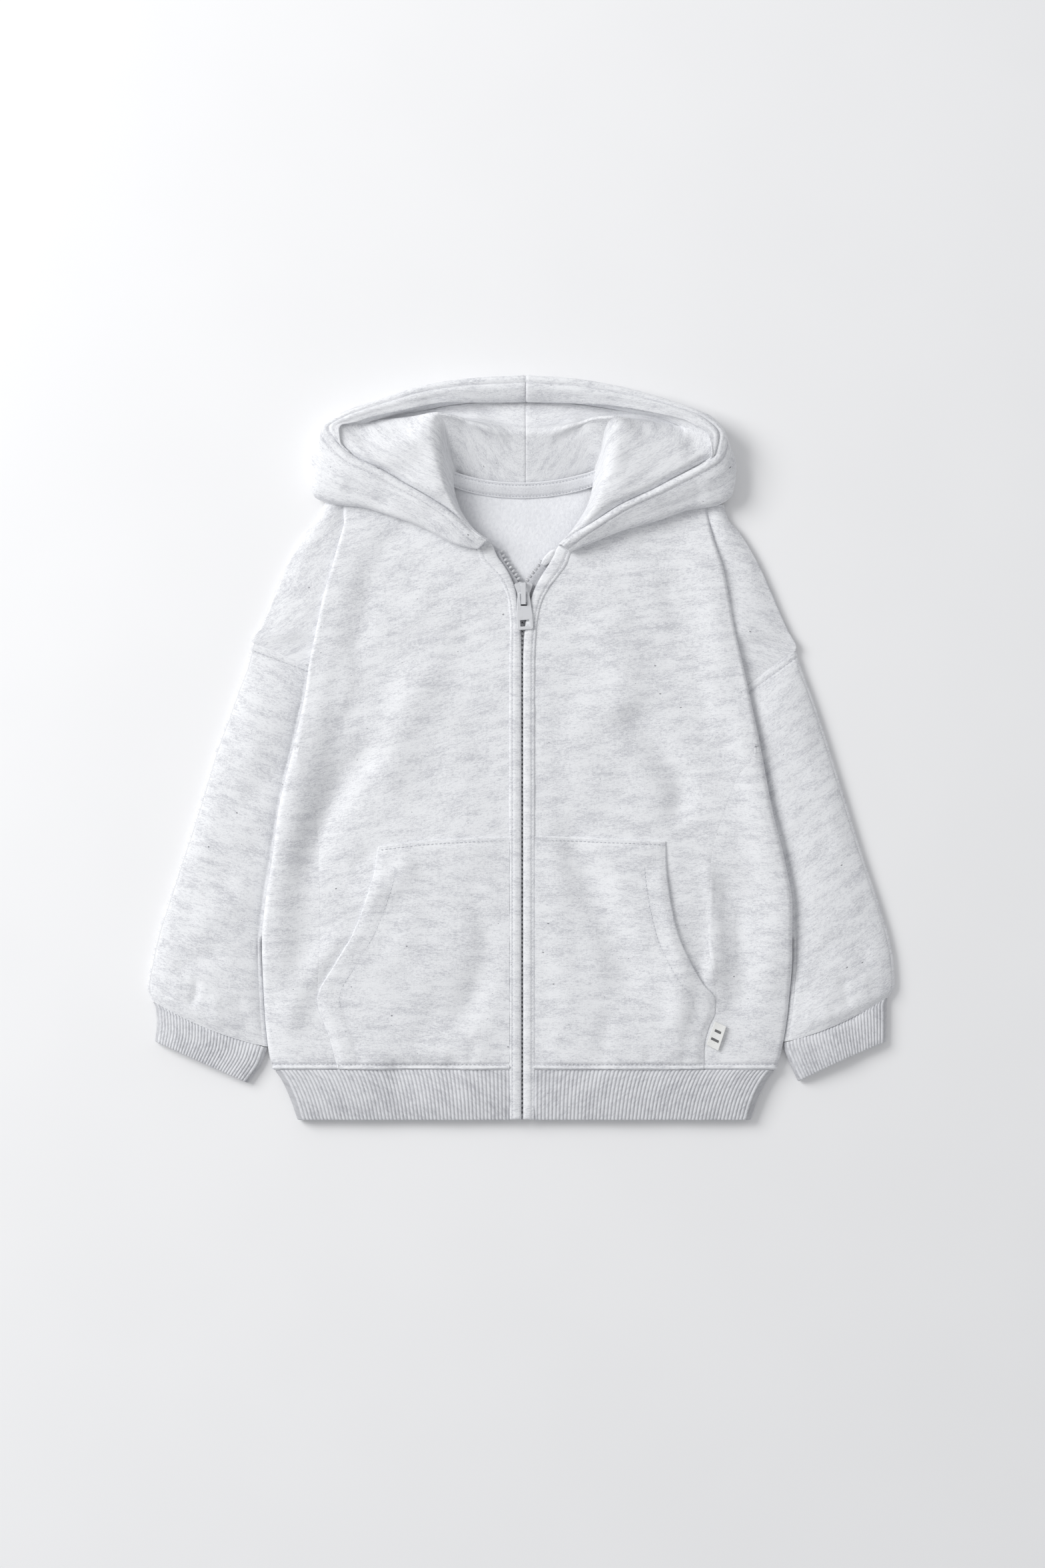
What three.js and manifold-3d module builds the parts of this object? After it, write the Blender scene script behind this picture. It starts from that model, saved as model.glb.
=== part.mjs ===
// Toddler zip hoodie laid flat on its back, hood opened out, sleeves turned down beside the body.
// Millimetres, +Z up from the surface it rests on, +X to the viewer's right, +Y towards the hood.
// Right and left are the wearer's: the right half lies at negative X.
import * as THREE from 'three'
import Module from 'manifold-3d'

// Driving sizes
const CLOTH = 2.0
const RIB_CLOTH = 2.0
const NECK_TAPE_WALL = 1.2
const SEAM_GAP = 0.3
const BODY_LOFT = 5.5
const CAP_LEVEL = 3.9
const TURN_RADIUS = 1.35
const SIDE_RADIUS = 2.7
const EDGE_REACH = 32
const SLEEVE_STACK = 5.6
const SLEEVE_PUFF = 2.5
const CAP_PUFF = 1.6
const CUFF_PUFF = 1.7
const RIB_PITCH = 2.45
const RIB_HEIGHT = 0.45
const POCKET_GAP = 0.35
const PLACKET_WALL = 2.6
const TAPE_WALL = 1.0
const CHAIN_WALL = 2.2
const SHOULDER_Y = 162
const HEM_TOP = -210.6
const HEM_BOTTOM = -243.5
const SEAM_Y = HEM_TOP + SEAM_GAP
const UNDERARM = 2.4
// Middle of the whole outline along Y, moved to the origin
const OUTLINE_MIDDLE_Y = 1.5

// Side fold of the front, columns x, y
const FOLD = {
  right: [[-117, 162], [-117, 150.3], [-121.4, 131.8], [-130.7, 99.7], [-136.4, 72.8], [-139.9, 55.2],
    [-142.1, 38.5], [-150, 2.4], [-160.2, -41.6], [-163.7, -69.7], [-168.5, -100.5], [-170.7, -125.6],
    [-169.8, -160.8], [-166.3, -200], [-162.8, -211]],
  left: [[121.5, 162], [124.1, 150.3], [127.2, 137.5], [133.3, 119], [137.3, 97.9], [140.8, 78.5],
    [145.2, 60.1], [149.2, 41.6], [157.5, 2.4], [165.9, -41.6], [172.9, -69.7], [178.6, -104.5],
    [178.6, -132.7], [176.4, -167.9], [171.2, -200], [167.6, -211]],
}
// Shoulder outline down to the armhole seam and along it, columns x, y
const SHOULDER = {
  right: [[-128.9, 162.1], [-135.1, 152], [-142.1, 143.2], [-152.7, 125.6], [-161, 108], [-168.1, 90.4],
    [-172, 81.6], [-177.8, 71.9], [-161, 64], [-139.9, 55.2]],
  left: [[134.2, 162.1], [137.3, 152], [144.8, 143.2], [155.8, 125.6], [164.1, 108], [171.6, 90.4],
    [175.6, 81.6], [181.3, 67.1], [170.7, 58.7], [159.7, 50.8], [148.3, 42.9]],
}
// Rows of the front panels from shoulder to hem, y
const FRONT_ROWS = {
  right: [162, 152, 143, 134, 125.6, 116, 104, 90.4, 80, 71.9, 64, 55.2, 38.5, 20, 2.4, 1.9, -15, -35, -58, -80,
    -103, -126, -150, -170, -190, -203, -210.3],
  left: [162, 152, 143, 134, 125.6, 116, 104, 90.4, 79, 67.1, 58.7, 50.8, 42.9, 22, 2.4, 1.9, -15, -35, -58, -80,
    -103, -126, -150, -170, -190, -203, -210.3],
}
const CAP_END = { right: 55, left: 42.5 }
// Upper edge of the front under the hood, columns x, y
const FRONT_TOP = {
  right: [[-135, 162], [-128, 162], [-106, 165.5], [-84.5, 160], [-66, 153.3], [-44.9, 142.8], [-29, 132]],
  left: [[140, 162], [134, 162], [113.5, 162], [86.7, 156], [56.3, 147.6], [38.7, 139.7], [32.6, 130.5]],
}
// Edge of the front along the placket, columns x, y
const FRONT_ZIP = {
  right: [[-29, 131.8], [-27.7, 126.9], [-21.6, 119.5], [-15, 113.7], [-11, 106.3], [-8.8, 99.7],
    [-7.4, 77.2], [-7.9, 55.2], [-7.9, -244]],
  left: [[32.6, 129.1], [30.8, 123.4], [25.5, 116], [20.2, 109.3], [14.5, 99.7], [10.1, 77.2],
    [9.2, 55.2], [9.2, -244]],
}
// Overlap of the front over its shoulder part and height of that turn, columns y, overlap, height
const TURN = [[162, -16, 0.6], [150, -14, 1.5], [140, -8, 3.6], [130, -2, 5.2], [120, 4, 5.4], [100, 12, 5.4],
  [80, 13, 5.4], [64, 9, 5.4], [55, 5, 5.4], [42, 5, 5.6], [2.4, 8, 10.8]]
// Across the turn: outward in radii, share of the overlap, share of the height
const TURN_COLUMNS = [[0.71, 0, 0.0725], [1, 0, 0.25], [0.71, 0, 0.4275], [0, 0, 0.5], [0, 1, 0.5],
  [-0.71, 1, 0.5725], [-1, 1, 0.75], [-0.71, 1, 0.9275], [0, 1, 1]]
// Side seam where it shows on the front, columns x, y
const SIDE_SEAM = {
  right: [[-145, 2.4], [-137.3, -32.8], [-133.3, -72.4], [-132.4, -120.8], [-134.6, -163.5],
    [-125.8, -191.2], [-121, -211]],
  left: [[151, 2.4], [136.4, -32.8], [125, -72.4], [123.2, -120.8], [128.5, -163.5], [128, -172.3],
    [124.1, -181.9], [121, -194.7], [120.6, -211]],
}
// Large soft folds of the body front: x1, y1, x2, y2, half width, height
const FOLDS = [
  [-91, 11, -150, -94, 12, -1.3], [-10, -108, -49, -187, 13, -1.2], [-92, -209, -36, -209, 6, -0.9],
  [-111, -116, -155, -187, 9, 1.1], [26, -42, 78, -169, 13, -1.3], [65, 29, 109, -50, 11, -1.1],
  [127, -77, 140, -182, 8, -1.6], [122, -72, 123, -160, 5, 1.0], [-60, 60, -95, -30, 14, 0.9],
  [45, 90, 70, 20, 14, 0.8], [-70, -70, -110, -100, 10, 0.8], [95, -100, 100, -190, 9, 0.9],
]
// Hidden overlap of the sleeve under the body side, columns y, overlap
const TUCK = [[60, 2], [38, 12], [-60, 12], [-112, 7], [-128, -0.6], [-220, -0.6]]
// Outer edge of the sleeves from armhole to cuff seam, columns x, y
const SLEEVE_OUTER = {
  right: [[-177.6, 70.4], [-181.3, 55.2], [-187.9, 37.6], [-194, 20], [-200.6, 2.4], [-211.2, -32.8],
    [-222.6, -68], [-234.1, -103.2], [-239.8, -120.8], [-243.8, -138.4], [-246.4, -154], [-243.2, -164.8]],
  left: [[181.2, 65.9], [184.4, 55.2], [191, 37.6], [197.1, 20], [202.8, 2.4], [213.8, -32.8],
    [224.8, -68], [236.7, -103.2], [242, -120.8], [245.5, -138.4], [246.4, -153], [242, -162]],
}
// Inner edge of each sleeve ring, y
const SLEEVE_INNER = {
  right: [52.6, 38, 18, -4, -28, -54, -82, -108, -130, -152, -174, -195.6],
  left: [34.2, 24, 6, -14, -36, -60, -86, -110, -130, -150, -170, -192.4],
}
// Bow of each sleeve ring towards the cuff
const SLEEVE_BOW = [0, -1, -1.5, -2, -2, -2, -1.5, -1, 0, 1.5, 3, 3.6]
// Cuff rings from seam to bottom edge: outer x, y, inner x, y, bow
const CUFF = {
  right: [[-241.2, -166.6, -167.8, -197.6, 3.4], [-240.2, -180, -171, -206, 1], [-241.6, -191.8, -180, -219.4, 0]],
  left: [[240.8, -163.8, 172.8, -194.6, 3.2], [240.8, -177.5, 176.5, -205, 1], [240.6, -192, 182.6, -218.4, -1]],
}
// Rings of the hood from the zip end round to the centre seam.
// Columns: neck x, y, z; inner turn x, y, z; valley z; facing z; rim x, y, z; outer x, y, z; under z
const HOOD = {
  right: [
    [-21.6, 137.9, 10.4, -22, 138, 15.2, 16, 16, -24, 136.4, 16.6, -28.4, 132.4, 13, 10],
    [-29.6, 143.2, 10.2, -30.8, 143.7, 18, 19, 18.6, -32.6, 142.8, 18.8, -43.1, 135.9, 13.4, 9.6],
    [-38.7, 154.2, 9.4, -41.8, 155.5, 21, 21, 20.6, -43.8, 154.2, 20.6, -66, 147.6, 13.4, 9.2],
    [-43.6, 166.1, 8, -48.4, 168.7, 23, 23, 22.2, -58.1, 164.8, 21.6, -86.2, 154.6, 13.2, 9.2],
    [-45, 174, 6.5, -51.9, 180.6, 24, 24.6, 23.4, -74.8, 174.5, 22, -106, 160.4, 12.4, 9],
    [-44.4, 179.3, 5, -53.7, 191.6, 25, 25, 23.4, -91.1, 184.6, 22, -124.1, 162.4, 11, 8],
    [-43.1, 181.9, 4, -55, 203.9, 25.6, 24.6, 22, -108.7, 192.9, 21, -138.2, 168.7, 9, 3.4],
    [-43.1, 182.8, 3, -55, 214.5, 26, 19, 17, -122.8, 203.1, 19.6, -139, 185, 8, 1.2],
    [-42, 181.9, 2.4, -51.9, 220.7, 26, 11, 14, -129.8, 211, 18.6, -132.9, 201.3, 8, 1],
    [-38.5, 179.3, 1.8, -40.5, 218.4, 23, 7, 12.6, -118.8, 219.3, 18, -121, 219, 8, 1],
    [-31.3, 175.3, 1.4, -27.7, 213, 19, 5.6, 11.8, -89, 230.4, 17, -89.9, 231.1, 7, 1],
    [-20.9, 171.2, 1.3, -16.3, 209.8, 16.6, 5, 11.4, -60.5, 239, 16.2, -61, 239.8, 7, 1],
    [-10, 169, 1.3, -7.5, 208.2, 15.6, 5, 11.2, -29.5, 243.2, 15.6, -29.5, 244.1, 6.6, 1],
    [2.8, 168, 1.3, 2.8, 207.4, 15.2, 5, 11.2, 2.8, 245, 15.4, 2.8, 245.9, 6.4, 1],
  ],
  left: [
    [24.6, 134.8, 10.4, 25.6, 135.2, 15.2, 16, 16, 27.6, 134, 16.6, 31.6, 130.6, 13, 10],
    [32.6, 142.6, 10.2, 33.6, 143, 18.6, 19, 18.8, 36.4, 141.4, 19.4, 46, 136.6, 13.8, 9.6],
    [39.6, 152.2, 9.4, 42.7, 150.7, 21.4, 22, 21.6, 48.4, 149.6, 21.6, 66.9, 145, 13.8, 9.2],
    [45.4, 163.4, 8, 50.2, 165, 23.4, 24, 23.2, 66, 161.2, 22.6, 90, 151.4, 13.4, 9.2],
    [47.6, 173, 6.5, 55, 177.4, 24.4, 25.2, 24, 87.1, 171, 23, 112, 158.6, 12.6, 9],
    [48.4, 179.6, 5, 57.6, 190.4, 25.4, 25.6, 24, 104, 180.2, 22.8, 130, 161.6, 11, 8],
    [48.4, 182, 4, 59, 203, 26, 25, 22.6, 119.5, 188, 21.6, 140.4, 169.6, 9, 3.4],
    [48.4, 183, 3, 59.6, 212.4, 26.4, 19.6, 17.4, 129.8, 194, 20, 141.6, 185, 8, 1.2],
    [46.6, 182, 2.4, 58, 218.4, 26.4, 11.4, 14.2, 133.6, 206.4, 19, 136.4, 200.6, 8, 1],
    [43, 179.6, 1.8, 46, 217.4, 23.4, 7.2, 12.8, 124.6, 217.6, 18.4, 126.6, 217.2, 8, 1],
    [35.4, 175.6, 1.4, 32.4, 212.6, 19.2, 5.8, 11.8, 94.8, 229.2, 17.2, 95.7, 229.9, 7, 1],
    [24.6, 171.4, 1.3, 21, 209.4, 16.8, 5, 11.4, 63.8, 237.6, 16.4, 64.4, 238.5, 7, 1],
    [13, 169.2, 1.3, 11, 208, 15.8, 5, 11.2, 32.6, 242.9, 15.8, 32.8, 243.7, 6.6, 1],
    [3.3, 168, 1.3, 3.3, 207.4, 15.2, 5, 11.2, 3.3, 245, 15.4, 3.3, 245.9, 6.4, 1],
  ],
}
// Pocket opening from the upper corner to the side seam, and upper edge, columns x, y
const POCKET_OPENING = {
  right: [[-94.2, -62.5], [-95, -68.4], [-96.4, -78.1], [-101.2, -94.8], [-110.9, -120.3],
    [-122.3, -139.7], [-134.2, -163.5], [-125.5, -191.2], [-120.7, -211]],
  left: [[95.5, -60.4], [95.9, -79.4], [98.1, -97.5], [103, -120.3], [111.3, -139.7], [119.7, -153.8],
    [127.4, -163.5], [127.6, -172.3], [123.8, -181.9], [120.7, -194.7], [120.3, -211]],
}
const POCKET_TOP = {
  right: [[-8.4, -56.5], [-60.3, -59.2], [-94.2, -63.1]],
  left: [[9.2, -56.1], [95.9, -59.6]],
}
const POCKET_ROWS = [0, 0.05, 0.13, 0.24, 0.36, 0.5, 0.62, 0.7, 0.78, 0.9, 1]
// Placket rows from the neck to the hem: outer x, y, inner x, y
const PLACKET = {
  right: [[-28.6, 132, -18.9, 135], [-27.3, 126.9, -15.8, 128], [-21.2, 119.5, -11, 121.2],
    [-14.6, 113.7, -7, 114.2], [-10.6, 106.3, -4, 106.3], [-8.4, 99.7, -2.6, 99.7], [-7, 81.6, -0.9, 81.6],
    [-7.5, 55.2, -0.4, 55.2], [-7.5, 0, -0.4, 0], [-7.5, -56, -0.4, -56], [-7.5, -110, -0.4, -110],
    [-7.5, -160, -0.4, -160], [-7.5, -211, -0.4, -211], [-7.3, -243.2, -0.5, -243]],
  left: [[32.2, 129.4, 22.9, 132], [30.4, 123.4, 18.6, 123], [25.1, 116, 13.6, 115.2], [19.8, 109.3, 9.7, 108],
    [16.6, 104, 7.8, 103.6], [14.1, 99.7, 6.6, 99.7], [10.2, 81.6, 2.9, 81.6], [8.8, 55.2, 1.8, 55.2],
    [8.8, 0, 1.8, 0], [8.8, -56, 1.8, -56], [8.8, -110, 1.8, -110], [8.8, -160, 1.8, -160],
    [8.8, -211, 1.8, -211], [8.6, -243.2, 1.9, -243]],
}
// Zip tape rows from the neck to the hem: outer x, y, inner x, y, height of the middle
const TAPE = {
  right: [[-19.4, 129.1, -14.1, 131.8, 4.6], [-16.7, 121.2, -11, 124.7, 4.5], [-12.3, 114.2, -6.2, 117.7, 4.4],
    [-7.9, 106.3, -1.8, 110.7, 4.4], [-5.3, 99.7, 0.2, 103.6, 4.3], [-4, 81.6, 0.5, 81.6, 4.3],
    [-4, 20, 0.5, 20, 4.3], [-4, -60, 0.5, -60, 4.3], [-4, -140, 0.5, -140, 4.3], [-4, -242, 0.5, -242, 4.3]],
  left: [[23.8, 124.7, 15.8, 126.5, 4.6], [20.2, 117.7, 11.4, 120.3, 4.5], [15, 111.5, 6.6, 114.2, 4.4],
    [10.6, 105.4, 3, 108, 4.4], [7.9, 99.7, 1.2, 102.7, 4.3], [5.7, 81.6, 0.95, 81.6, 4.3],
    [5.3, 20, 0.95, 20, 4.3], [5.3, -60, 0.95, -60, 4.3], [5.3, -140, 0.95, -140, 4.3],
    [5.3, -242, 0.95, -242, 4.3]],
}
// Neck tape from one end to the other: upper x, y, z, lower x, y, z
const NECK_TAPE = [
  [-37, 178.4, 5.6, -36.4, 170, 3.2], [-26, 174.6, 5.4, -25.4, 166.4, 3], [-13, 172, 5.2, -12.6, 164.2, 2.95],
  [0.6, 171, 5.2, 0.6, 163.6, 2.95], [14.4, 172, 5.2, 14, 164.2, 2.95], [28, 174.8, 5.4, 27.4, 166.6, 3],
  [41, 179, 5.6, 40.4, 170.4, 3.2],
]
const LABEL = { corners: [[127.6, -178.4], [135.1, -181.9], [129.8, -197.8], [121.9, -193.8]], wall: 0.7, lift: 0.8 }
const PULL = { length: 25.1, width: 10.7, wall: 1.2, lean: 3, pivotX: 1.5, pivotY: 103.4, level: 8.9 }

function clamp01(v) {
  return Math.min(1, Math.max(0, v))
}
function smooth(v) {
  const c = clamp01(v)
  return c * c * (3 - 2 * c)
}
function mix(a, b, f) {
  return a + (b - a) * f
}
// Value of one column of a table where another column has the given value
function lookup(table, key, column, value) {
  const up = table[table.length - 1][key] > table[0][key]
  for (let i = 0; i + 1 < table.length; i++) {
    const a = table[i][key]
    const b = table[i + 1][key]
    const inside = up ? value <= b : value >= b
    if (inside) return mix(table[i][column], table[i + 1][column], clamp01((value - a) / (b - a)))
  }
  return table[table.length - 1][column]
}
function sideOf(name) {
  return name === 'right' ? -1 : 1
}

// Fade of the sleeve under the body along the side
function stackFade(y) {
  return smooth((55 - y) / 40) * (1 - smooth((-132 - y) / 33))
}
function foldEdge(name, y) {
  return Math.abs(lookup(FOLD[name], 1, 0, y))
}
// Height of the stack under the back panel, in millimetres above the surface
function stackHeight(x, y) {
  const name = x < 0 ? 'right' : 'left'
  const inner = foldEdge(name, y) - lookup(TUCK, 0, 1, y)
  return SLEEVE_STACK * stackFade(y) * smooth(1 - (inner - Math.abs(x)) / 20)
}
// Edge of the front cloth along the side: the fold itself above the underarm, the side seam below it
function frontEdge(name, y) {
  const radius = mix(TURN_RADIUS, SIDE_RADIUS, smooth((42 - y) / 39))
  const fold = foldEdge(name, y) - CLOTH / 2 - radius
  if (y > UNDERARM - 0.1) return fold
  const seam = Math.min(Math.abs(lookup(SIDE_SEAM[name], 1, 0, y)), fold - 1.2)
  return mix(fold - 0.95, seam, clamp01((UNDERARM - 0.5 - y) / 16.9)) - SEAM_GAP / 2
}
function edgeLevel(y) {
  if (y > UNDERARM) return mix(CAP_LEVEL + lookup(TURN, 0, 2, Math.max(y, 42)), 11.7, smooth((42 - y) / 39))
  return CLOTH / 2 + 2 * SIDE_RADIUS + SLEEVE_STACK * stackFade(y)
}
function foldsAt(x, y) {
  let h = 0
  for (const [x1, y1, x2, y2, w, height] of FOLDS) {
    const l2 = (x2 - x1) ** 2 + (y2 - y1) ** 2
    const f = clamp01(((x - x1) * (x2 - x1) + (y - y1) * (y2 - y1)) / l2)
    const d = Math.hypot(x - mix(x1, x2, f), y - mix(y1, y2, f))
    h += height * Math.exp(-((d / w) ** 2)) * smooth(4 * f + 0.2) * smooth(4 * (1 - f) + 0.2)
  }
  return h
}
// Height of the middle of the front cloth
function frontHeight(x, y) {
  const name = x < 0 ? 'right' : 'left'
  const inner = foldEdge(name, y) - Math.abs(x)
  const w = smooth(1 - inner / EDGE_REACH)
  const calm = smooth((Math.abs(x) - 9) / 25)
  const level = CLOTH / 2 + BODY_LOFT + foldsAt(x, y) * calm
  return mix(level, edgeLevel(y) + 0.4 * foldsAt(x, y) * smooth(inner / 12), w)
}

// Cloth kept as its middle surface, turned into a closed wall afterwards
class Cloth {
  constructor(wall) {
    this.wall = wall
    this.points = []
    this.faces = []
  }
  point(x, y, z, raise = 0, wall = this.wall) {
    this.points.push({ p: new THREE.Vector3(x, y, z), raise, wall })
    return this.points.length - 1
  }
  // Joins rows of point numbers; a wanted(i, j) test leaves faces out
  patch(rows, closed = false, wanted = () => true) {
    for (let i = 0; i + 1 < rows.length; i++) {
      const n = rows[i].length
      for (let j = 0; j < (closed ? n : n - 1); j++) {
        const k = (j + 1) % n
        if (wanted(i, j)) this.faces.push([rows[i][j], rows[i + 1][j], rows[i + 1][k], rows[i][k]])
      }
    }
  }
  flip() {
    this.faces = this.faces.map((f) => [f[0], f[3], f[2], f[1]])
  }
  solid() {
    const normals = this.points.map(() => new THREE.Vector3())
    for (const f of this.faces) {
      const [a, b, c, d] = f.map((i) => this.points[i].p)
      const n = new THREE.Vector3().subVectors(c, a).cross(new THREE.Vector3().subVectors(d, b))
      for (const i of f) normals[i].add(n)
    }
    const used = new Map()
    const position = []
    const triangles = []
    for (const f of this.faces) for (const i of f) if (!used.has(i)) used.set(i, used.size)
    for (const [i, k] of used) {
      const { p, raise, wall } = this.points[i]
      const n = normals[i].normalize()
      const outer = p.clone().addScaledVector(n, wall / 2 + raise)
      const inner = p.clone().addScaledVector(n, -wall / 2)
      position[2 * k] = outer
      position[2 * k + 1] = inner
    }
    const edges = new Set()
    for (const f of this.faces) for (let j = 0; j < 4; j++) edges.add(f[j] + '_' + f[(j + 1) % 4])
    for (const f of this.faces) {
      const [a, b, c, d] = f.map((i) => 2 * used.get(i))
      triangles.push([a, b, c], [a, c, d], [c + 1, b + 1, a + 1], [d + 1, c + 1, a + 1])
      for (let j = 0; j < 4; j++) {
        const s = f[j]
        const e = f[(j + 1) % 4]
        if (edges.has(e + '_' + s)) continue
        const ps = 2 * used.get(s)
        const pe = 2 * used.get(e)
        triangles.push([pe, ps, ps + 1], [pe, ps + 1, pe + 1])
      }
    }
    const geometry = new THREE.BufferGeometry()
    geometry.setAttribute('position', new THREE.Float32BufferAttribute(position.flatMap((v) => [v.x, v.y, v.z]), 3))
    geometry.setIndex(triangles.flat())
    geometry.computeVertexNormals()
    return geometry
  }
}

// Front panel with the turn over its shoulder part and that part itself
function frontPanel(name) {
  const side = sideOf(name)
  const cloth = new Cloth(CLOTH)
  const across = [0, 0.1, 0.22, 0.36, 0.5, 0.63, 0.75, 0.85, 0.93, 1]
  const ys = FRONT_ROWS[name]
  const rows = ys.map((yRow) => {
    const fade = 1 - smooth((SHOULDER_Y - yRow) / 80)
    const radius = mix(TURN_RADIUS, SIDE_RADIUS, smooth((42 - yRow) / 39))
    const place = (f) => {
      let y = yRow
      let x = 0
      for (let k = 0; k < 6; k++) {
        const zip = lookup(FRONT_ZIP[name], 1, 0, y) + side * 1.1 * smooth((y - 80) / 20)
        x = mix(zip, side * frontEdge(name, yRow), f)
        y = yRow + (lookup(FRONT_TOP[name], 0, 1, x) - SHOULDER_Y) * fade
      }
      return [x, y]
    }
    const row = across.map((f) => {
      const [x, y] = place(f)
      return cloth.point(x, y, frontHeight(x, y))
    })
    if (yRow < UNDERARM - 0.01) return row
    const [xf, yf] = place(1)
    const overlap = lookup(TURN, 0, 1, yRow)
    const height = yRow > 42 ? lookup(TURN, 0, 2, yRow) : 4 * radius
    const turned = clamp01(1 + overlap / 4)
    const top = frontHeight(xf, yf)
    TURN_COLUMNS.forEach(([out, share, drop], k) => {
      const even = (k + 1) / TURN_COLUMNS.length
      const b = mix(even, share, turned)
      const c = mix(smooth(even), drop, turned)
      row.push(cloth.point(xf + side * (out * radius * turned - overlap * b), yf, top - height * c))
    })
    const start = Math.abs(xf) - overlap
    const end = Math.abs(lookup(SHOULDER[name], 1, 0, yRow)) - (yRow > 74 ? CLOTH / 2 : 0)
    for (const f of [0.25, 0.5, 0.75, 0.92, 1]) {
      const open = yRow > 74
      const low = open ? (f > 0.95 ? -0.75 : f > 0.8 ? -0.15 : 0) : 0
      const puff = open ? CAP_PUFF * Math.sin(Math.PI * clamp01(f)) : 0
      row.push(cloth.point(side * mix(start, end, f), yf, CAP_LEVEL + puff + low))
    }
    return row
  })
  const inner = across.length - 1
  const full = ys.findIndex((y) => y < CAP_END[name])
  const under = ys.findIndex((y) => y < UNDERARM + 0.5)
  const wide = rows[0].length
  const padded = rows.map((r) => (r.length === wide ? r : r.concat(Array(wide - r.length).fill(-1))))
  cloth.patch(padded, false, (i, j) => j < inner || (j < inner + 5 ? i < under : i + 1 <= full - 1))
  if (side < 0) cloth.flip()
  return cloth.solid()
}

// Back panel: flat on the surface, wrapping round the sides to the front below the underarms
function backPanel() {
  const cloth = new Cloth(CLOTH)
  const ys = [162, 152, 143, 134, 125.6, 108, 90.4, 80, 71.9, 64, 55.2, 42.9, 20, 1.6, -15, -35, -58, -80,
    -103, -126, -150, -170, -190, -203, -210.3]
  const inside = 24
  const top = [[-150, 160.5], [-130, 161.6], [-97.7, 164.3], [-62.5, 168.7], [-43.1, 170.9], [-36, 168.7],
    [-22.9, 166.5], [0.6, 165.2], [24, 166.5], [37.4, 168.7], [46, 170.9], [64, 168.7], [99, 164.3],
    [134, 161.6], [150, 160.5]]
  const rows = ys.map((yRow) => {
    const fade = 1 - smooth((SHOULDER_Y - yRow) / 60)
    const half = (name) => {
      const side = sideOf(name)
      const fold = foldEdge(name, yRow)
      const base = fold - (yRow < 50 && yRow > 2 ? 13.5 : inside)
      const list = []
      const put = (x, z) => {
        const y = yRow + (lookup(top, 0, 1, side * x) - SHOULDER_Y) * fade
        list.push(cloth.point(side * x, y, z))
      }
      for (const f of [0.12, 0.3, 0.5, 0.7, 0.86, 1]) put(base * f, 1 + stackHeight(side * base * f, yRow))
      const level = 1 + stackHeight(side * (fold - 4), yRow)
      const turn = fold - CLOTH / 2 - SIDE_RADIUS
      if (yRow > 50) {
        const end = Math.abs(lookup(SHOULDER[name], 1, 0, yRow)) - 0.4
        for (let k = 1; k <= 9; k++) put(mix(base, end, k / 9), 1)
      } else {
        put(mix(base, turn, 0.5), 1 + stackHeight(side * mix(base, turn, 0.5), yRow))
        for (let k = 0; k <= 4; k++) {
          const a = (k * Math.PI) / 4 - Math.PI / 2
          put(turn + SIDE_RADIUS * Math.cos(a), level + SIDE_RADIUS * (1 + Math.sin(a)))
        }
        const seam = Math.min(frontEdge(name, yRow) + SEAM_GAP, turn - 0.7)
        for (const f of [0.33, 0.67, 1]) {
          const x = mix(turn, seam, f)
          put(x, mix(level + 2 * SIDE_RADIUS, frontHeight(side * x, yRow), clamp01(f * 3)))
        }
      }
      return list
    }
    const y0 = yRow + (lookup(top, 0, 1, 0) - SHOULDER_Y) * fade
    return [...half('right').reverse(), cloth.point(0, y0, 1), ...half('left')]
  })
  const wide = 9
  const count = rows[0].length
  cloth.patch(rows, false, (i, j) => {
    const outer = j < wide ? 'right' : j >= count - 1 - wide ? 'left' : ''
    if (!outer) return true
    return ys[i] > 50 ? i < 10 : ys[i] < 2
  })
  return cloth.solid()
}

// Ring of a flattened tube between an outer and an inner edge point
function flatRing(cloth, outer, inner, bow, puff, upper, lower, ribbed, hidden, base = 1) {
  const [xo, yo] = outer
  const [xi, yi] = inner
  const length = Math.hypot(xi - xo, yi - yo)
  const radius = (CAP_LEVEL - 1) / 2
  const ux = (xi - xo) / length
  const uy = (yi - yo) / length
  const at = (s) => {
    const f = s / length
    const b = bow * 4 * f * (1 - f)
    return [xo + ux * s + Math.abs(uy) * Math.sign(ux) * b * 0.4, yo + uy * s + Math.abs(ux) * b]
  }
  const ring = []
  const put = (s, z, raise = 0) => {
    const [x, y] = at(s)
    ring.push(cloth.point(x, y, z, raise))
  }
  const from = CLOTH / 2 + radius
  const to = length - CLOTH / 2 - radius
  for (let k = 0; k <= upper; k++) {
    const f = k / upper
    const bump = Math.sin(Math.PI * clamp01(f / hidden)) ** 0.8
    put(mix(from, to, f), CAP_LEVEL + puff * bump, ribbed ? (k % 2 ? RIB_HEIGHT : 0) : 0)
  }
  put(to + radius * 0.87, 1 + radius * 1.5)
  put(to + radius * 0.87, base + radius * 0.5)
  for (let k = lower; k >= 0; k--) put(mix(from, to, k / lower), base)
  put(from - radius * 0.87, base + radius * 0.5)
  put(from - radius * 0.87, 1 + radius * 1.5)
  return ring
}
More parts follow.
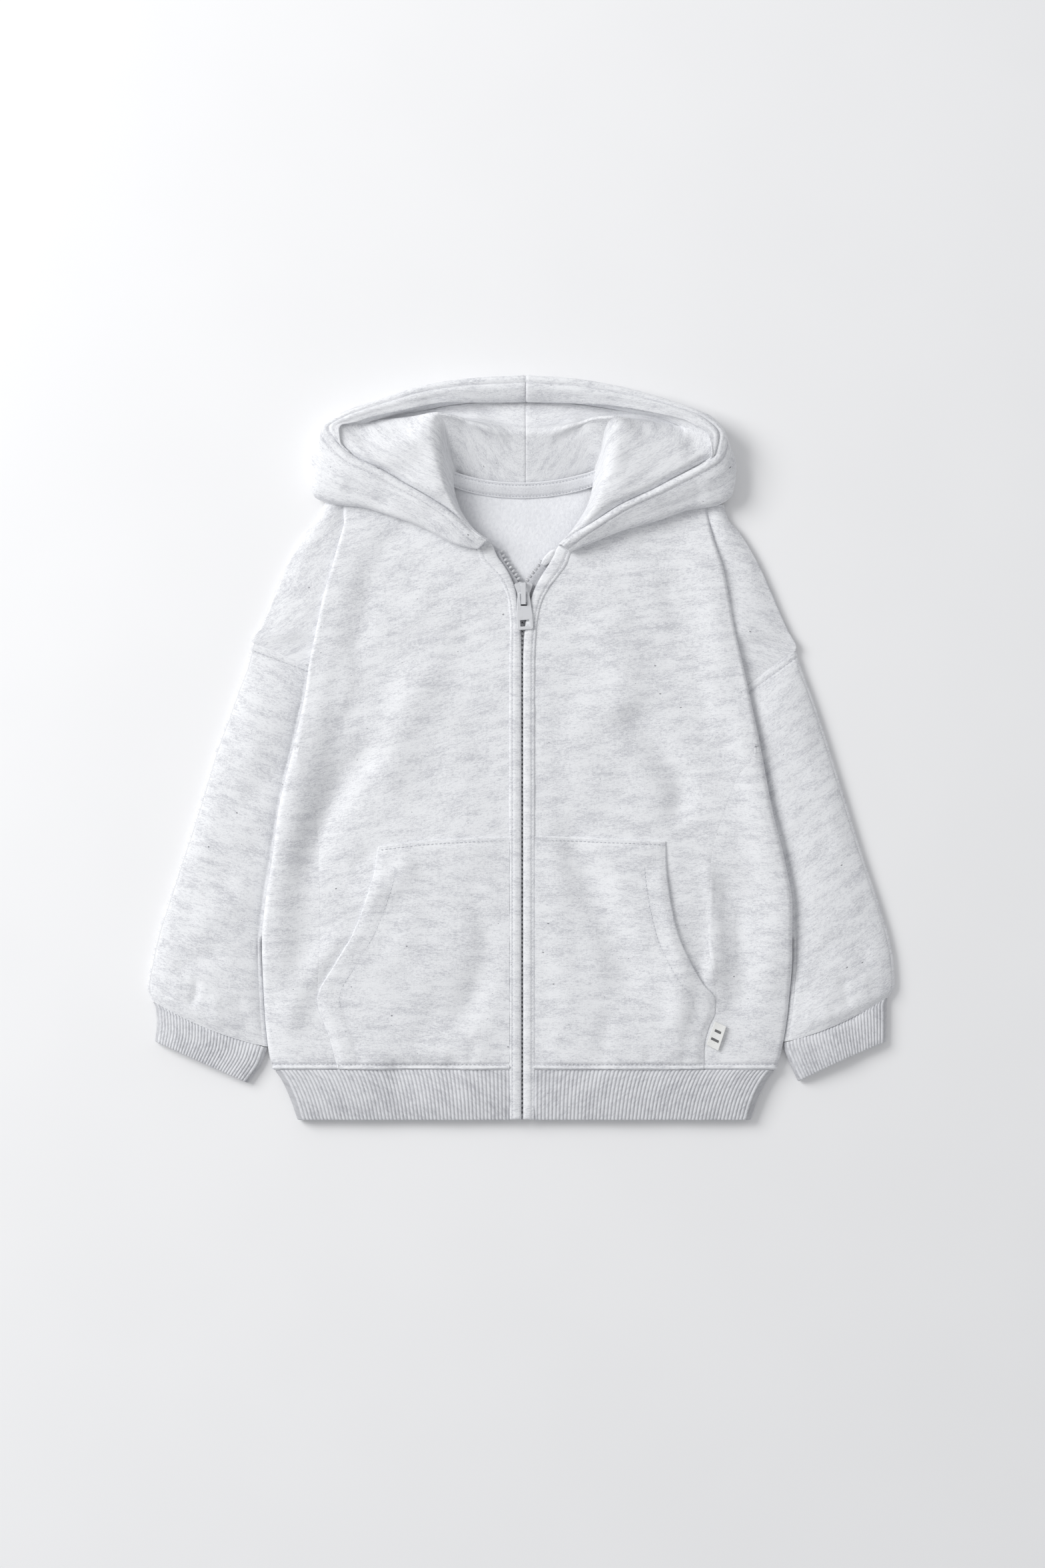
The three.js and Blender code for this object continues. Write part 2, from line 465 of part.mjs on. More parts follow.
function sleeve(name) {
  const side = sideOf(name)
  const cloth = new Cloth(CLOTH)
  const rows = SLEEVE_OUTER[name].map((outer, k) => {
    const y = SLEEVE_INNER[name][k]
    const inner = [side * (foldEdge(name, y) - lookup(TUCK, 0, 1, y)), y]
    const hidden = y > -128 ? 1 - (lookup(TUCK, 0, 1, y) + 1) / Math.hypot(outer[0] - inner[0], outer[1] - y) : 1
    const wave = k < 9 ? 0.35 * Math.sin(k * 1.9 + side) : 0
    const puff = k === 0 ? 0.3 : k === 1 ? 1.6 : k === 11 ? 2.2 : SLEEVE_PUFF + wave
    return flatRing(cloth, outer, inner, SLEEVE_BOW[k] * -1, puff, 9, 4, false, clamp01(hidden))
  })
  cloth.patch(rows, true)
  if (side > 0) cloth.flip()
  return cloth.solid()
}
function cuff(name) {
  const side = sideOf(name)
  const cloth = new Cloth(RIB_CLOTH)
  const [a] = CUFF[name]
  const ribs = Math.round(Math.hypot(a[2] - a[0], a[3] - a[1]) / RIB_PITCH)
  const rows = CUFF[name].map((r, k) => {
    const puff = [CUFF_PUFF, CUFF_PUFF + 0.6, CUFF_PUFF - 0.5][k]
    return flatRing(cloth, [r[0], r[1]], [r[2], r[3]], -r[4], puff, 2 * ribs, 4, true, 1)
  })
  cloth.patch(rows, true)
  if (side > 0) cloth.flip()
  return cloth.solid()
}

// Ribbed hem band: upper side from the zip, round one side, across below and back round the other side
function hemBand() {
  const cloth = new Cloth(RIB_CLOTH)
  const bands = [
    { y: HEM_TOP - SEAM_GAP, right: -162.4, left: 167.2, radius: 2.7, puff: 0 },
    { y: -215.8, right: -158.6, left: 162.9, radius: 2.9, puff: 0.6 },
    { y: -229, right: -152.4, left: 156.2, radius: 3, puff: 0.7 },
    { y: HEM_BOTTOM, right: -147.4, left: 151.4, radius: 2.4, puff: 0 },
  ]
  const rows = bands.map(({ y, right, left, radius, puff }) => {
    const row = []
    const put = (x, z, raise) => row.push(cloth.point(x, y, z, raise))
    const upper = (from, to, ribs, side) => {
      for (let k = 0; k <= 2 * ribs; k++) {
        const f = k / (2 * ribs)
        const x = mix(from, to, f)
        const edge = smooth(1 - (side < 0 ? Math.abs(x - right) : Math.abs(x - left)) / 30)
        const level = mix(frontHeight(x, HEM_TOP), 1 + 2 * radius, Math.max(edge, clamp01((HEM_TOP - y) / 25)))
        put(x, level + puff * Math.sin(Math.PI * f), k % 2 ? RIB_HEIGHT : 0)
      }
    }
    const turn = (side, x0, up) => {
      for (let k = 1; k <= 3; k++) {
        const a = up ? -Math.PI / 2 + (k * Math.PI) / 4 : Math.PI / 2 - (k * Math.PI) / 4
        put(x0 + side * radius * Math.cos(a), 1 + radius + radius * Math.sin(a), 0)
      }
    }
    const r0 = right + 1 + radius
    const l0 = left - 1 - radius
    upper(-8.3, r0, 55, -1)
    turn(-1, r0, false)
    for (let k = 0; k <= 8; k++) put(mix(r0, l0, k / 8), 1, 0)
    turn(1, l0, true)
    const back = []
    const keep = row.length
    upper(9.6, l0, 56, 1)
    back.push(...row.splice(keep).reverse())
    row.push(...back)
    return row
  })
  cloth.patch(rows)
  cloth.flip()
  return cloth.solid()
}

// Half of the hood: outer cloth and its own lining as one hollow roll
function hoodHalf(name) {
  const side = sideOf(name)
  const cloth = new Cloth(CLOTH)
  const table = HOOD[name]
  const rows = table.map((r, k) => {
    const [nx, ny, nz, ix, iy, iz, valley, facing, rx, ry, rz, ox, oy, oz, under] = r
    const ring = []
    const wall = k === 0 ? 1.2 : k === 1 ? 1.6 : CLOTH
    const put = (a, b, f, z) => ring.push(cloth.point(mix(a[0], b[0], f), mix(a[1], b[1], f), z, 0, wall))
    const N = [nx, ny]
    const I = [ix, iy]
    const R = [rx, ry]
    const O = [ox, oy]
    const bag = smooth((k - 6) / 2)
    put(N, I, 0, nz)
    put(N, I, 0.45, mix(nz, iz, 0.42))
    put(N, I, 0.92, mix(nz, iz, 0.86))
    put(I, R, 0.1, iz)
    put(I, R, mix(0.36, 0.26, bag), mix(valley, valley + (iz - valley) * 0.3, bag))
    put(I, R, mix(0.6, 0.62, bag), mix(mix(valley, facing, 0.6), valley, bag))
    put(I, R, mix(0.8, 0.7, bag), facing)
    put(I, R, 0.97, rz)
    put(R, O, 0.25, mix(rz, oz, 0.16))
    put(R, O, 0.6, mix(rz, oz, 0.45))
    put(R, O, 0.92, mix(rz, oz, 0.8))
    put(O, N, 0.02, mix(oz, under, 0.5))
    put(O, N, k < 2 ? 0.12 : 0.06, under)
    put(O, N, 0.4, mix(under, nz, k < 6 ? 0.1 : 0))
    put(O, N, 0.75, mix(under, nz, 0.3))
    return ring
  })
  cloth.patch(rows, true)
  if (side < 0) cloth.flip()
  return cloth.solid()
}

function pocket(name) {
  const side = sideOf(name)
  const cloth = new Cloth(CLOTH)
  const across = [0, 0.14, 0.3, 0.46, 0.62, 0.78, 0.9, 0.97, 1]
  const rows = POCKET_ROWS.map((v) => across.map((f) => {
    const top = mix(lookup(POCKET_TOP[name], 0, 1, side * 9), POCKET_OPENING[name][0][1], f)
    let y = mix(top, SEAM_Y, v)
    const outer = lookup(POCKET_OPENING[name], 1, 0, y)
    const x = mix(side < 0 ? -8.6 : 9.9, outer, f)
    y = mix(lookup(POCKET_TOP[name], 0, 1, x), SEAM_Y, v)
    const gape = smooth((-62 - y) / 30) * smooth((y + 168) / 20) * smooth((f - 0.6) / 0.4)
    const lift = CLOTH + POCKET_GAP + (side > 0 ? 1.5 : 0.8) * gape
    return cloth.point(x, y, frontHeight(x, y) + lift)
  }))
  cloth.patch(rows)
  if (side < 0) cloth.flip()
  return cloth.solid()
}

function placket(name) {
  const side = sideOf(name)
  const cloth = new Cloth(PLACKET_WALL)
  const rows = PLACKET[name].map(([xo, yo, xi, yi]) => [0, 0.3, 0.72, 1].map((f, k) => {
    const level = CLOTH / 2 + BODY_LOFT + [0.35, 0.8, 0.75, 0.3][k]
    return cloth.point(mix(xo, xi, f), mix(yo, yi, f), level, 0, [2, 2.6, 2.6, 2][k])
  }))
  cloth.patch(rows)
  if (side > 0) cloth.flip()
  return cloth.solid()
}

function zipTape(name) {
  const side = sideOf(name)
  const cloth = new Cloth(TAPE_WALL)
  const rows = TAPE[name].map(([xo, yo, xi, yi, z]) => [0, 0.5, 0.58, 1].map((f) => (
    cloth.point(mix(xo, xi, f), mix(yo, yi, f), z, 0, f > 0.55 ? CHAIN_WALL : TAPE_WALL)
  )))
  cloth.patch(rows)
  if (side > 0) cloth.flip()
  return cloth.solid()
}

function neckTape() {
  const cloth = new Cloth(NECK_TAPE_WALL)
  const rows = [0, 1].map((f) => NECK_TAPE.map(([x1, y1, z1, x2, y2, z2]) => (
    cloth.point(mix(x1, x2, f), mix(y1, y2, f), mix(z1, z2, f) + 0.3)
  )))
  cloth.patch(rows)
  return cloth.solid()
}

function label() {
  const cloth = new Cloth(LABEL.wall)
  const [a, b, c, d] = LABEL.corners
  const rows = [0, 0.25, 0.5, 0.75, 1].map((v) => [0, 0.5, 1].map((u) => {
    const x = mix(mix(a[0], b[0], u), mix(d[0], c[0], u), v)
    const y = mix(mix(a[1], b[1], u), mix(d[1], c[1], u), v)
    return cloth.point(x, y, frontHeight(x, y) + CLOTH / 2 + LABEL.lift + 0.8 * u * u)
  }))
  cloth.patch(rows)
  return cloth.solid()
}

const wasm = await Module()
wasm.setup()

// Closed upright plate from an outline turning left, between two heights
function plate(outline, z0, z1) {
  const n = outline.length
  const vertices = []
  for (const z of [z0, z1]) for (const [x, y] of outline) vertices.push(x, y, z)
  const triangles = []
  const flat = THREE.ShapeUtils.triangulateShape(outline.map(([x, y]) => new THREE.Vector2(x, y)), [])
  for (const [a, b, c] of flat) triangles.push(a, c, b, a + n, b + n, c + n)
  for (let i = 0; i < n; i++) {
    const j = (i + 1) % n
    triangles.push(i, j, j + n, i, j + n, i + n)
  }
  const mesh = new wasm.Mesh({
    numProp: 3,
    vertProperties: new Float32Array(vertices),
    triVerts: new Uint32Array(triangles),
  })
  return new wasm.Manifold(mesh)
}
function toGeometry(body) {
  const mesh = body.getMesh()
  const geometry = new THREE.BufferGeometry()
  geometry.setAttribute('position', new THREE.Float32BufferAttribute(Array.from(mesh.vertProperties), 3))
  geometry.setIndex(Array.from(mesh.triVerts))
  geometry.computeVertexNormals()
  return geometry
}
function rectangle(cx, y0, y1, half) {
  return [[cx - half, y0], [cx + half, y0], [cx + half, y1], [cx - half, y1]]
}

// Slider: two shield plates joined by a post between the parting chains, with the loop that holds the pull
function slider() {
  const cx = PULL.pivotX
  const shield = [[-3, 95.8], [3, 95.8], [3.6, 99], [4.3, 103.6], [5.6, 107.4], [6.1, 109], [5.2, 110],
    [-5.2, 110], [-6.1, 109], [-5.6, 107.4], [-4.3, 103.6], [-3.5, 99]].map(([x, y]) => [x + cx, y])
  const waist = [[-2.4, 96.2], [2.4, 96.2], [2.8, 103.6], [3.6, 109.2], [-3.6, 109.2], [-2.8, 103.6]]
    .map(([x, y]) => [x + cx, y])
  const post = [[-1, 109], [0, 106.8], [1, 109], [1, 109.8], [-1, 109.8]].map(([x, y]) => [x + cx - 0.5, y])
  return plate(shield, 6.1, 7.4)
    .add(plate(waist, 2.25, 2.9))
    .add(plate(post, 2.5, 6.5))
    .add(plate(rectangle(cx, 96, 97.8, 1.5), 7, 11.4))
    .add(plate(rectangle(cx, 108.4, 110.2, 1.5), 7, 11.4))
    .add(plate(rectangle(cx, 96, 110.2, 1.5), 10.6, 12))
}
// Pull tab hanging towards the hem from the loop of the slider
function pullTab() {
  const { length, width, wall, lean, pivotX, pivotY, level } = PULL
  const h = width / 2
  const y0 = pivotY + 1 - length
  const body = [[-h + 1, y0], [h - 1, y0], [h, y0 + 1], [h, y0 + 9], [h - 1.1, pivotY - 4], [h - 1.6, pivotY],
    [h - 2.6, pivotY + 0.8], [-h + 2.6, pivotY + 0.8], [-h + 1.6, pivotY], [-h + 1.1, pivotY - 4], [-h, y0 + 9],
    [-h, y0 + 1]]
  const slot = [[-2.1, pivotY - 8.4], [2.1, pivotY - 8.4], [2.1, pivotY - 0.7], [-2.1, pivotY - 0.7]]
  const window = [[-3, y0 + 2.2], [3, y0 + 2.2], [3, y0 + 6.4], [-3, y0 + 6.4]]
  const turn = THREE.MathUtils.degToRad(lean)
  const place = (list) => list.map(([x, y]) => [
    pivotX + x * Math.cos(turn) - (y - pivotY) * Math.sin(turn),
    pivotY + x * Math.sin(turn) + (y - pivotY) * Math.cos(turn),
  ])
  return plate(place(body), level, level + wall)
    .subtract(plate(place(slot), level - 1, level + wall + 1))
    .subtract(plate(place(window), level - 1, level + wall + 1))
}

const COLORS = {
  jersey: 0xe1e2e6, rib: 0xb8b9bd, tape: 0xd0d1d5, zip: 0xc2c3c5, metal: 0xd8d9db, label: 0xe8e8e8,
}
const group = new THREE.Group()
function add(name, geometry, slot) {
  const material = new THREE.MeshStandardMaterial({ color: COLORS[slot], roughness: 0.9, name: slot })
  const mesh = new THREE.Mesh(geometry, material)
  mesh.name = name
  group.add(mesh)
}
add('back_panel', backPanel(), 'jersey')
for (const name of ['right', 'left']) {
  add('front_' + name, frontPanel(name), 'jersey')
  add('sleeve_' + name, sleeve(name), 'jersey')
  add('cuff_' + name, cuff(name), 'rib')
  add('pocket_' + name, pocket(name), 'jersey')
  add('hood_' + name, hoodHalf(name), 'jersey')
  add('placket_' + name, placket(name), 'jersey')
  add('zip_tape_' + name, zipTape(name), 'zip')
}
add('hem_band', hemBand(), 'rib')
add('neck_tape', neckTape(), 'tape')
add('side_label', label(), 'label')
add('zip_slider', toGeometry(slider()), 'metal')
add('zip_pull', toGeometry(pullTab()), 'metal')
group.position.y = -OUTLINE_MIDDLE_Y

export default group
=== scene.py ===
"""Toddler zip hoodie laid flat on its back on a pale surface, seen from straight above.

Tables and sizes of the pieces are in millimetres, as a pattern maker notes them. Meshes are in metres,
+Z up from the surface, +X to the viewer's right and +Y towards the hood. Right and left are the wearer's,
so the right half lies at negative X.
"""

import logging
import math
from collections.abc import Callable, Sequence
from dataclasses import dataclass, field
from enum import Enum

import bmesh
import bpy
import numpy as np
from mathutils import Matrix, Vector


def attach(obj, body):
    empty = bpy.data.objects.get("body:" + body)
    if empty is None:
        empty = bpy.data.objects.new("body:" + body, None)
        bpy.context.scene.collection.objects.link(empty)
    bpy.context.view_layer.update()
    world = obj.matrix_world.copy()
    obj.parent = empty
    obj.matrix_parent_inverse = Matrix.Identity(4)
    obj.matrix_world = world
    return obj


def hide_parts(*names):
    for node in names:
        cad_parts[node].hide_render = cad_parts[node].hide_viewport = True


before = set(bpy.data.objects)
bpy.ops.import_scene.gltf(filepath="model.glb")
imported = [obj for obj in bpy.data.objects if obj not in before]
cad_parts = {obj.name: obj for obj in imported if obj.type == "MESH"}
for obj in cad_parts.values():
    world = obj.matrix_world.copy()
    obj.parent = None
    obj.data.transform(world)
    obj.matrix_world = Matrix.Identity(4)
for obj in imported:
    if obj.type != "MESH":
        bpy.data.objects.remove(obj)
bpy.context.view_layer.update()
LOG = logging.getLogger("hoodie")

Array = np.ndarray
Object = bpy.types.Object
Material = bpy.types.Material

MM = 0.001
OUTLINE_MIDDLE_Y = 1.5  # middle of the whole outline along Y, moved to the origin
GARMENT = "garment"
PULL_BODY = "pull"


class Side(Enum):
    """Half of the garment, named for the wearer."""

    RIGHT = "right"
    LEFT = "left"

    @property
    def sign(self) -> int:
        """Return -1 where the half lies at negative X and 1 where it lies at positive X."""
        return -1 if self is Side.RIGHT else 1


class Hold(Enum):
    """Way in which a sheet of cloth is held."""

    LAID = "laid"
    FOLDED = "folded"


class Slot(Enum):
    """Material slot of the record for a piece."""

    JERSEY = "jersey"
    RIB = "rib"
    TAPE = "tape"
    ZIP = "zip"
    METAL = "metal"
    LABEL = "label"


# Side fold of the front, columns x, y
FOLD = {
  Side.RIGHT: [[-117, 162], [-117, 150.3], [-121.4, 131.8], [-130.7, 99.7], [-136.4, 72.8], [-139.9, 55.2],
    [-142.1, 38.5], [-150, 2.4], [-160.2, -41.6], [-163.7, -69.7], [-168.5, -100.5], [-170.7, -125.6],
    [-169.8, -160.8], [-166.3, -200], [-162.8, -211]],
  Side.LEFT: [[121.5, 162], [124.1, 150.3], [127.2, 137.5], [133.3, 119], [137.3, 97.9], [140.8, 78.5],
    [145.2, 60.1], [149.2, 41.6], [157.5, 2.4], [165.9, -41.6], [172.9, -69.7], [178.6, -104.5],
    [178.6, -132.7], [176.4, -167.9], [171.2, -200], [167.6, -211]],
}
# Shoulder outline down to the armhole seam and along it, columns x, y
SHOULDER = {
  Side.RIGHT: [[-128.9, 162.1], [-135.1, 152], [-142.1, 143.2], [-152.7, 125.6], [-161, 108], [-168.1, 90.4],
    [-172, 81.6], [-177.8, 71.9], [-161, 64], [-139.9, 55.2]],
  Side.LEFT: [[134.2, 162.1], [137.3, 152], [144.8, 143.2], [155.8, 125.6], [164.1, 108], [171.6, 90.4],
    [175.6, 81.6], [181.3, 67.1], [170.7, 58.7], [159.7, 50.8], [148.3, 42.9]],
}
# End of the shoulder part at the fold, y
CAP_END = {Side.RIGHT: 55, Side.LEFT: 42.5}
# Upper edge of the front under the hood, columns x, y
FRONT_TOP = {
  Side.RIGHT: [[-135, 162], [-128, 162], [-106, 165.5], [-84.5, 160], [-66, 153.3],
    [-44.9, 142.8], [-29, 132]],
  Side.LEFT: [[140, 162], [134, 162], [113.5, 162], [86.7, 156], [56.3, 147.6], [38.7, 139.7], [32.6, 130.5]],
}
# Edge of the front along the placket, columns x, y
FRONT_ZIP = {
  Side.RIGHT: [[-29, 131.8], [-27.7, 126.9], [-21.6, 119.5], [-15, 113.7], [-11, 106.3], [-8.8, 99.7],
    [-7.4, 77.2], [-7.9, 55.2], [-7.9, -244]],
  Side.LEFT: [[32.6, 129.1], [30.8, 123.4], [25.5, 116], [20.2, 109.3], [14.5, 99.7], [10.1, 77.2],
    [9.2, 55.2], [9.2, -244]],
}
# Overlap of the front over its shoulder part and height of that turn, columns y, overlap, height
TURN = [[162, -2.6, 2.3], [150, -1.6, 2.9], [140, 0, 4.2], [130, 2, 5.2], [120, 4.6, 5.4], [100, 12, 5.4],
  [80, 13, 5.4], [64, 9, 5.4], [55, 5, 5.4], [42, 5, 5.6], [2.4, 8, 10.8]]
# Side seam where it shows on the front, columns x, y
SIDE_SEAM = {
  Side.RIGHT: [[-145, 2.4], [-137.3, -32.8], [-133.3, -72.4], [-132.4, -120.8], [-134.6, -163.5],
    [-125.8, -191.2], [-121, -211]],
  Side.LEFT: [[151, 2.4], [136.4, -32.8], [125, -72.4], [123.2, -120.8], [128.5, -163.5], [128, -172.3],
    [124.1, -181.9], [121, -194.7], [120.6, -211]],
}
# Large soft folds of the body front: x1, y1, x2, y2, half width, height
FOLDS = [
  [-91, 11, -150, -94, 12, -1.3], [-10, -108, -49, -187, 13, -1.2], [-92, -209, -36, -209, 6, -0.9],
  [-111, -116, -155, -187, 9, 1.1], [26, -42, 78, -169, 13, -1.3], [65, 29, 109, -50, 11, -1.1],
  [127, -77, 140, -182, 8, -1.6], [122, -72, 123, -160, 5, 1.0], [-60, 60, -95, -30, 14, 0.9],
  [45, 90, 70, 20, 14, 0.8], [-70, -70, -110, -100, 10, 0.8], [95, -100, 100, -190, 9, 0.9],
]
# Hidden overlap of the sleeve under the body side, columns y, overlap
TUCK = [[60, 2], [38, 12], [-60, 12], [-112, 7], [-128, -0.6], [-220, -0.6]]
# Outer edge of the sleeves from armhole to cuff seam, columns x, y
SLEEVE_OUTER = {
  Side.RIGHT: [[-177.6, 70.4], [-181.3, 55.2], [-187.9, 37.6], [-194, 20], [-200.6, 2.4], [-211.2, -32.8],
    [-222.6, -68], [-234.1, -103.2], [-239.8, -120.8], [-243.8, -138.4], [-246.4, -154], [-243.2, -164.8]],
  Side.LEFT: [[181.2, 65.9], [184.4, 55.2], [191, 37.6], [197.1, 20], [202.8, 2.4], [213.8, -32.8],
    [224.8, -68], [236.7, -103.2], [242, -120.8], [245.5, -138.4], [246.4, -153], [242, -162]],
}
# Inner edge of each sleeve ring, y
SLEEVE_INNER = {
  Side.RIGHT: [52.6, 38, 18, -4, -28, -54, -82, -108, -130, -152, -174, -195.6],
  Side.LEFT: [34.2, 24, 6, -14, -36, -60, -86, -110, -130, -150, -170, -192.4],
}
# Bow of each sleeve ring towards the cuff
SLEEVE_BOW = [0, -1, -1.5, -2, -2, -2, -1.5, -1, 0, 1.5, 3, 3.6]
# Cuff rings from seam to bottom edge: outer x, y, inner x, y, bow
CUFF = {
  Side.RIGHT: [[-241.2, -166.6, -167.8, -197.6, 3.4], [-240.2, -180, -171, -206, 1],
    [-241.6, -191.8, -180, -219.4, 0]],
  Side.LEFT: [[240.8, -163.8, 172.8, -194.6, 3.2], [240.8, -177.5, 176.5, -205, 1],
    [240.6, -192, 182.6, -218.4, -1]],
}
# Rings of the hood from the zip end round to the centre seam.
# Columns: neck x, y, z; inner turn x, y, z; valley z; facing z; rim x, y, z; outer x, y, z; under z
HOOD = {
  Side.RIGHT: [
    [-21.6, 137.9, 10.4, -22, 138, 15.2, 16, 16, -24, 136.4, 16.6, -28.4, 132.4, 13, 10],
    [-29.6, 143.2, 10.2, -30.8, 143.7, 18, 19, 18.6, -32.6, 142.8, 18.8, -43.1, 135.9, 13.4, 9.6],
    [-38.7, 154.2, 9.4, -41.8, 155.5, 21, 21, 20.6, -43.8, 154.2, 20.6, -66, 147.6, 13.4, 9.2],
    [-43.6, 166.1, 8, -48.4, 168.7, 23, 23, 22.2, -58.1, 164.8, 21.6, -86.2, 154.6, 13.2, 9.2],
    [-45, 174, 6.5, -51.9, 180.6, 24, 24.6, 23.4, -74.8, 174.5, 22, -106, 160.4, 12.4, 9],
    [-44.4, 179.3, 5, -53.7, 191.6, 25, 25, 23.4, -91.1, 184.6, 22, -124.1, 162.4, 11, 8],
    [-43.1, 181.9, 4, -55, 203.9, 25.6, 24.6, 22, -108.7, 192.9, 21, -138.2, 168.7, 9, 3.4],
    [-43.1, 182.8, 3, -55, 214.5, 26, 19, 17, -122.8, 203.1, 19.6, -139, 185, 8, 1.2],
    [-42, 181.9, 2.4, -51.9, 220.7, 26, 11, 14, -129.8, 211, 18.6, -132.9, 201.3, 8, 1],
    [-38.5, 179.3, 1.8, -40.5, 218.4, 23, 7, 12.6, -118.8, 219.3, 18, -121, 219, 8, 1],
    [-31.3, 175.3, 1.4, -27.7, 213, 19, 5.6, 11.8, -89, 230.4, 17, -89.9, 231.1, 7, 1],
    [-20.9, 171.2, 1.3, -16.3, 209.8, 16.6, 5, 11.4, -60.5, 239, 16.2, -61, 239.8, 7, 1],
    [-10, 169, 1.3, -7.5, 208.2, 15.6, 5, 11.2, -29.5, 243.2, 15.6, -29.5, 244.1, 6.6, 1],
    [2.8, 168, 1.3, 2.8, 207.4, 15.2, 5, 11.2, 2.8, 245, 15.4, 2.8, 245.9, 6.4, 1],
  ],
  Side.LEFT: [
    [24.6, 134.8, 10.4, 25.6, 135.2, 15.2, 16, 16, 27.6, 134, 16.6, 31.6, 130.6, 13, 10],
    [32.6, 142.6, 10.2, 33.6, 143, 18.6, 19, 18.8, 36.4, 141.4, 19.4, 46, 136.6, 13.8, 9.6],
    [39.6, 152.2, 9.4, 42.7, 150.7, 21.4, 22, 21.6, 48.4, 149.6, 21.6, 66.9, 145, 13.8, 9.2],
    [45.4, 163.4, 8, 50.2, 165, 23.4, 24, 23.2, 66, 161.2, 22.6, 90, 151.4, 13.4, 9.2],
    [47.6, 173, 6.5, 55, 177.4, 24.4, 25.2, 24, 87.1, 171, 23, 112, 158.6, 12.6, 9],
    [48.4, 179.6, 5, 57.6, 190.4, 25.4, 25.6, 24, 104, 180.2, 22.8, 130, 161.6, 11, 8],
    [48.4, 182, 4, 59, 203, 26, 25, 22.6, 119.5, 188, 21.6, 140.4, 169.6, 9, 3.4],
    [48.4, 183, 3, 59.6, 212.4, 26.4, 19.6, 17.4, 129.8, 194, 20, 141.6, 185, 8, 1.2],
    [46.6, 182, 2.4, 58, 218.4, 26.4, 11.4, 14.2, 133.6, 206.4, 19, 136.4, 200.6, 8, 1],
    [43, 179.6, 1.8, 46, 217.4, 23.4, 7.2, 12.8, 124.6, 217.6, 18.4, 126.6, 217.2, 8, 1],
    [35.4, 175.6, 1.4, 32.4, 212.6, 19.2, 5.8, 11.8, 94.8, 229.2, 17.2, 95.7, 229.9, 7, 1],
    [24.6, 171.4, 1.3, 21, 209.4, 16.8, 5, 11.4, 63.8, 237.6, 16.4, 64.4, 238.5, 7, 1],
    [13, 169.2, 1.3, 11, 208, 15.8, 5, 11.2, 32.6, 242.9, 15.8, 32.8, 243.7, 6.6, 1],
    [3.3, 168, 1.3, 3.3, 207.4, 15.2, 5, 11.2, 3.3, 245, 15.4, 3.3, 245.9, 6.4, 1],
  ],
}
# Pocket opening from the upper corner to the side seam, and upper edge, columns x, y
POCKET_OPENING = {
  Side.RIGHT: [[-94.2, -62.5], [-95, -68.4], [-96.4, -78.1], [-101.2, -94.8], [-110.9, -120.3],
    [-122.3, -139.7], [-134.2, -163.5], [-125.5, -191.2], [-120.7, -211]],
  Side.LEFT: [[95.5, -60.4], [95.9, -79.4], [98.1, -97.5], [103, -120.3], [111.3, -139.7], [119.7, -153.8],
    [127.4, -163.5], [127.6, -172.3], [123.8, -181.9], [120.7, -194.7], [120.3, -211]],
}
POCKET_TOP = {
  Side.RIGHT: [[-8.4, -56.5], [-60.3, -59.2], [-94.2, -63.1]],
  Side.LEFT: [[9.2, -56.1], [95.9, -59.6]],
}
# Placket rows from the neck to the hem: outer x, y, inner x, y
PLACKET = {
  Side.RIGHT: [[-33, 136.6, -22.6, 139.4], [-28.6, 132, -18.9, 135],
    [-27.3, 126.9, -15.8, 128], [-21.2, 119.5, -11, 121.2],
    [-14.6, 113.7, -7, 114.2], [-10.6, 106.3, -4, 106.3], [-8.4, 99.7, -2.6, 99.7], [-7, 81.6, -0.9, 81.6],
    [-7.5, 55.2, -0.4, 55.2], [-7.5, 0, -0.4, 0], [-7.5, -56, -0.4, -56], [-7.5, -110, -0.4, -110],
    [-7.5, -160, -0.4, -160], [-7.5, -211, -0.4, -211], [-7.3, -243.2, -0.5, -243]],
  Side.LEFT: [[36.4, 134, 26.6, 136.6], [32.2, 129.4, 22.9, 132],
    [30.4, 123.4, 18.6, 123], [25.1, 116, 13.6, 115.2], [19.8, 109.3, 9.7, 108],
    [16.6, 104, 7.8, 103.6], [14.1, 99.7, 6.6, 99.7], [10.2, 81.6, 2.9, 81.6], [8.8, 55.2, 1.8, 55.2],
    [8.8, 0, 1.8, 0], [8.8, -56, 1.8, -56], [8.8, -110, 1.8, -110], [8.8, -160, 1.8, -160],
    [8.8, -211, 1.8, -211], [8.6, -243.2, 1.9, -243]],
}
# Zip tape rows from the neck to the hem: outer x, y, inner x, y, height of the middle
TAPE = {
  Side.RIGHT: [[-19.4, 129.1, -14.1, 131.8, 4.6], [-16.7, 121.2, -11, 124.7, 4.5],
    [-12.3, 114.2, -6.2, 117.7, 4.4],
    [-7.9, 106.3, -1.8, 110.7, 4.4], [-5.3, 99.7, 0.2, 103.6, 4.3], [-4, 81.6, 0.5, 81.6, 4.3],
    [-4, 20, 0.5, 20, 4.3], [-4, -60, 0.5, -60, 4.3], [-4, -140, 0.5, -140, 4.3], [-4, -242, 0.5, -242, 4.3]],
  Side.LEFT: [[23.8, 124.7, 15.8, 126.5, 4.6], [20.2, 117.7, 11.4, 120.3, 4.5], [15, 111.5, 6.6, 114.2, 4.4],
    [10.6, 105.4, 3, 108, 4.4], [7.9, 99.7, 1.2, 102.7, 4.3], [5.7, 81.6, 0.95, 81.6, 4.3],
    [5.3, 20, 0.95, 20, 4.3], [5.3, -60, 0.95, -60, 4.3], [5.3, -140, 0.95, -140, 4.3],
    [5.3, -242, 0.95, -242, 4.3]],
}
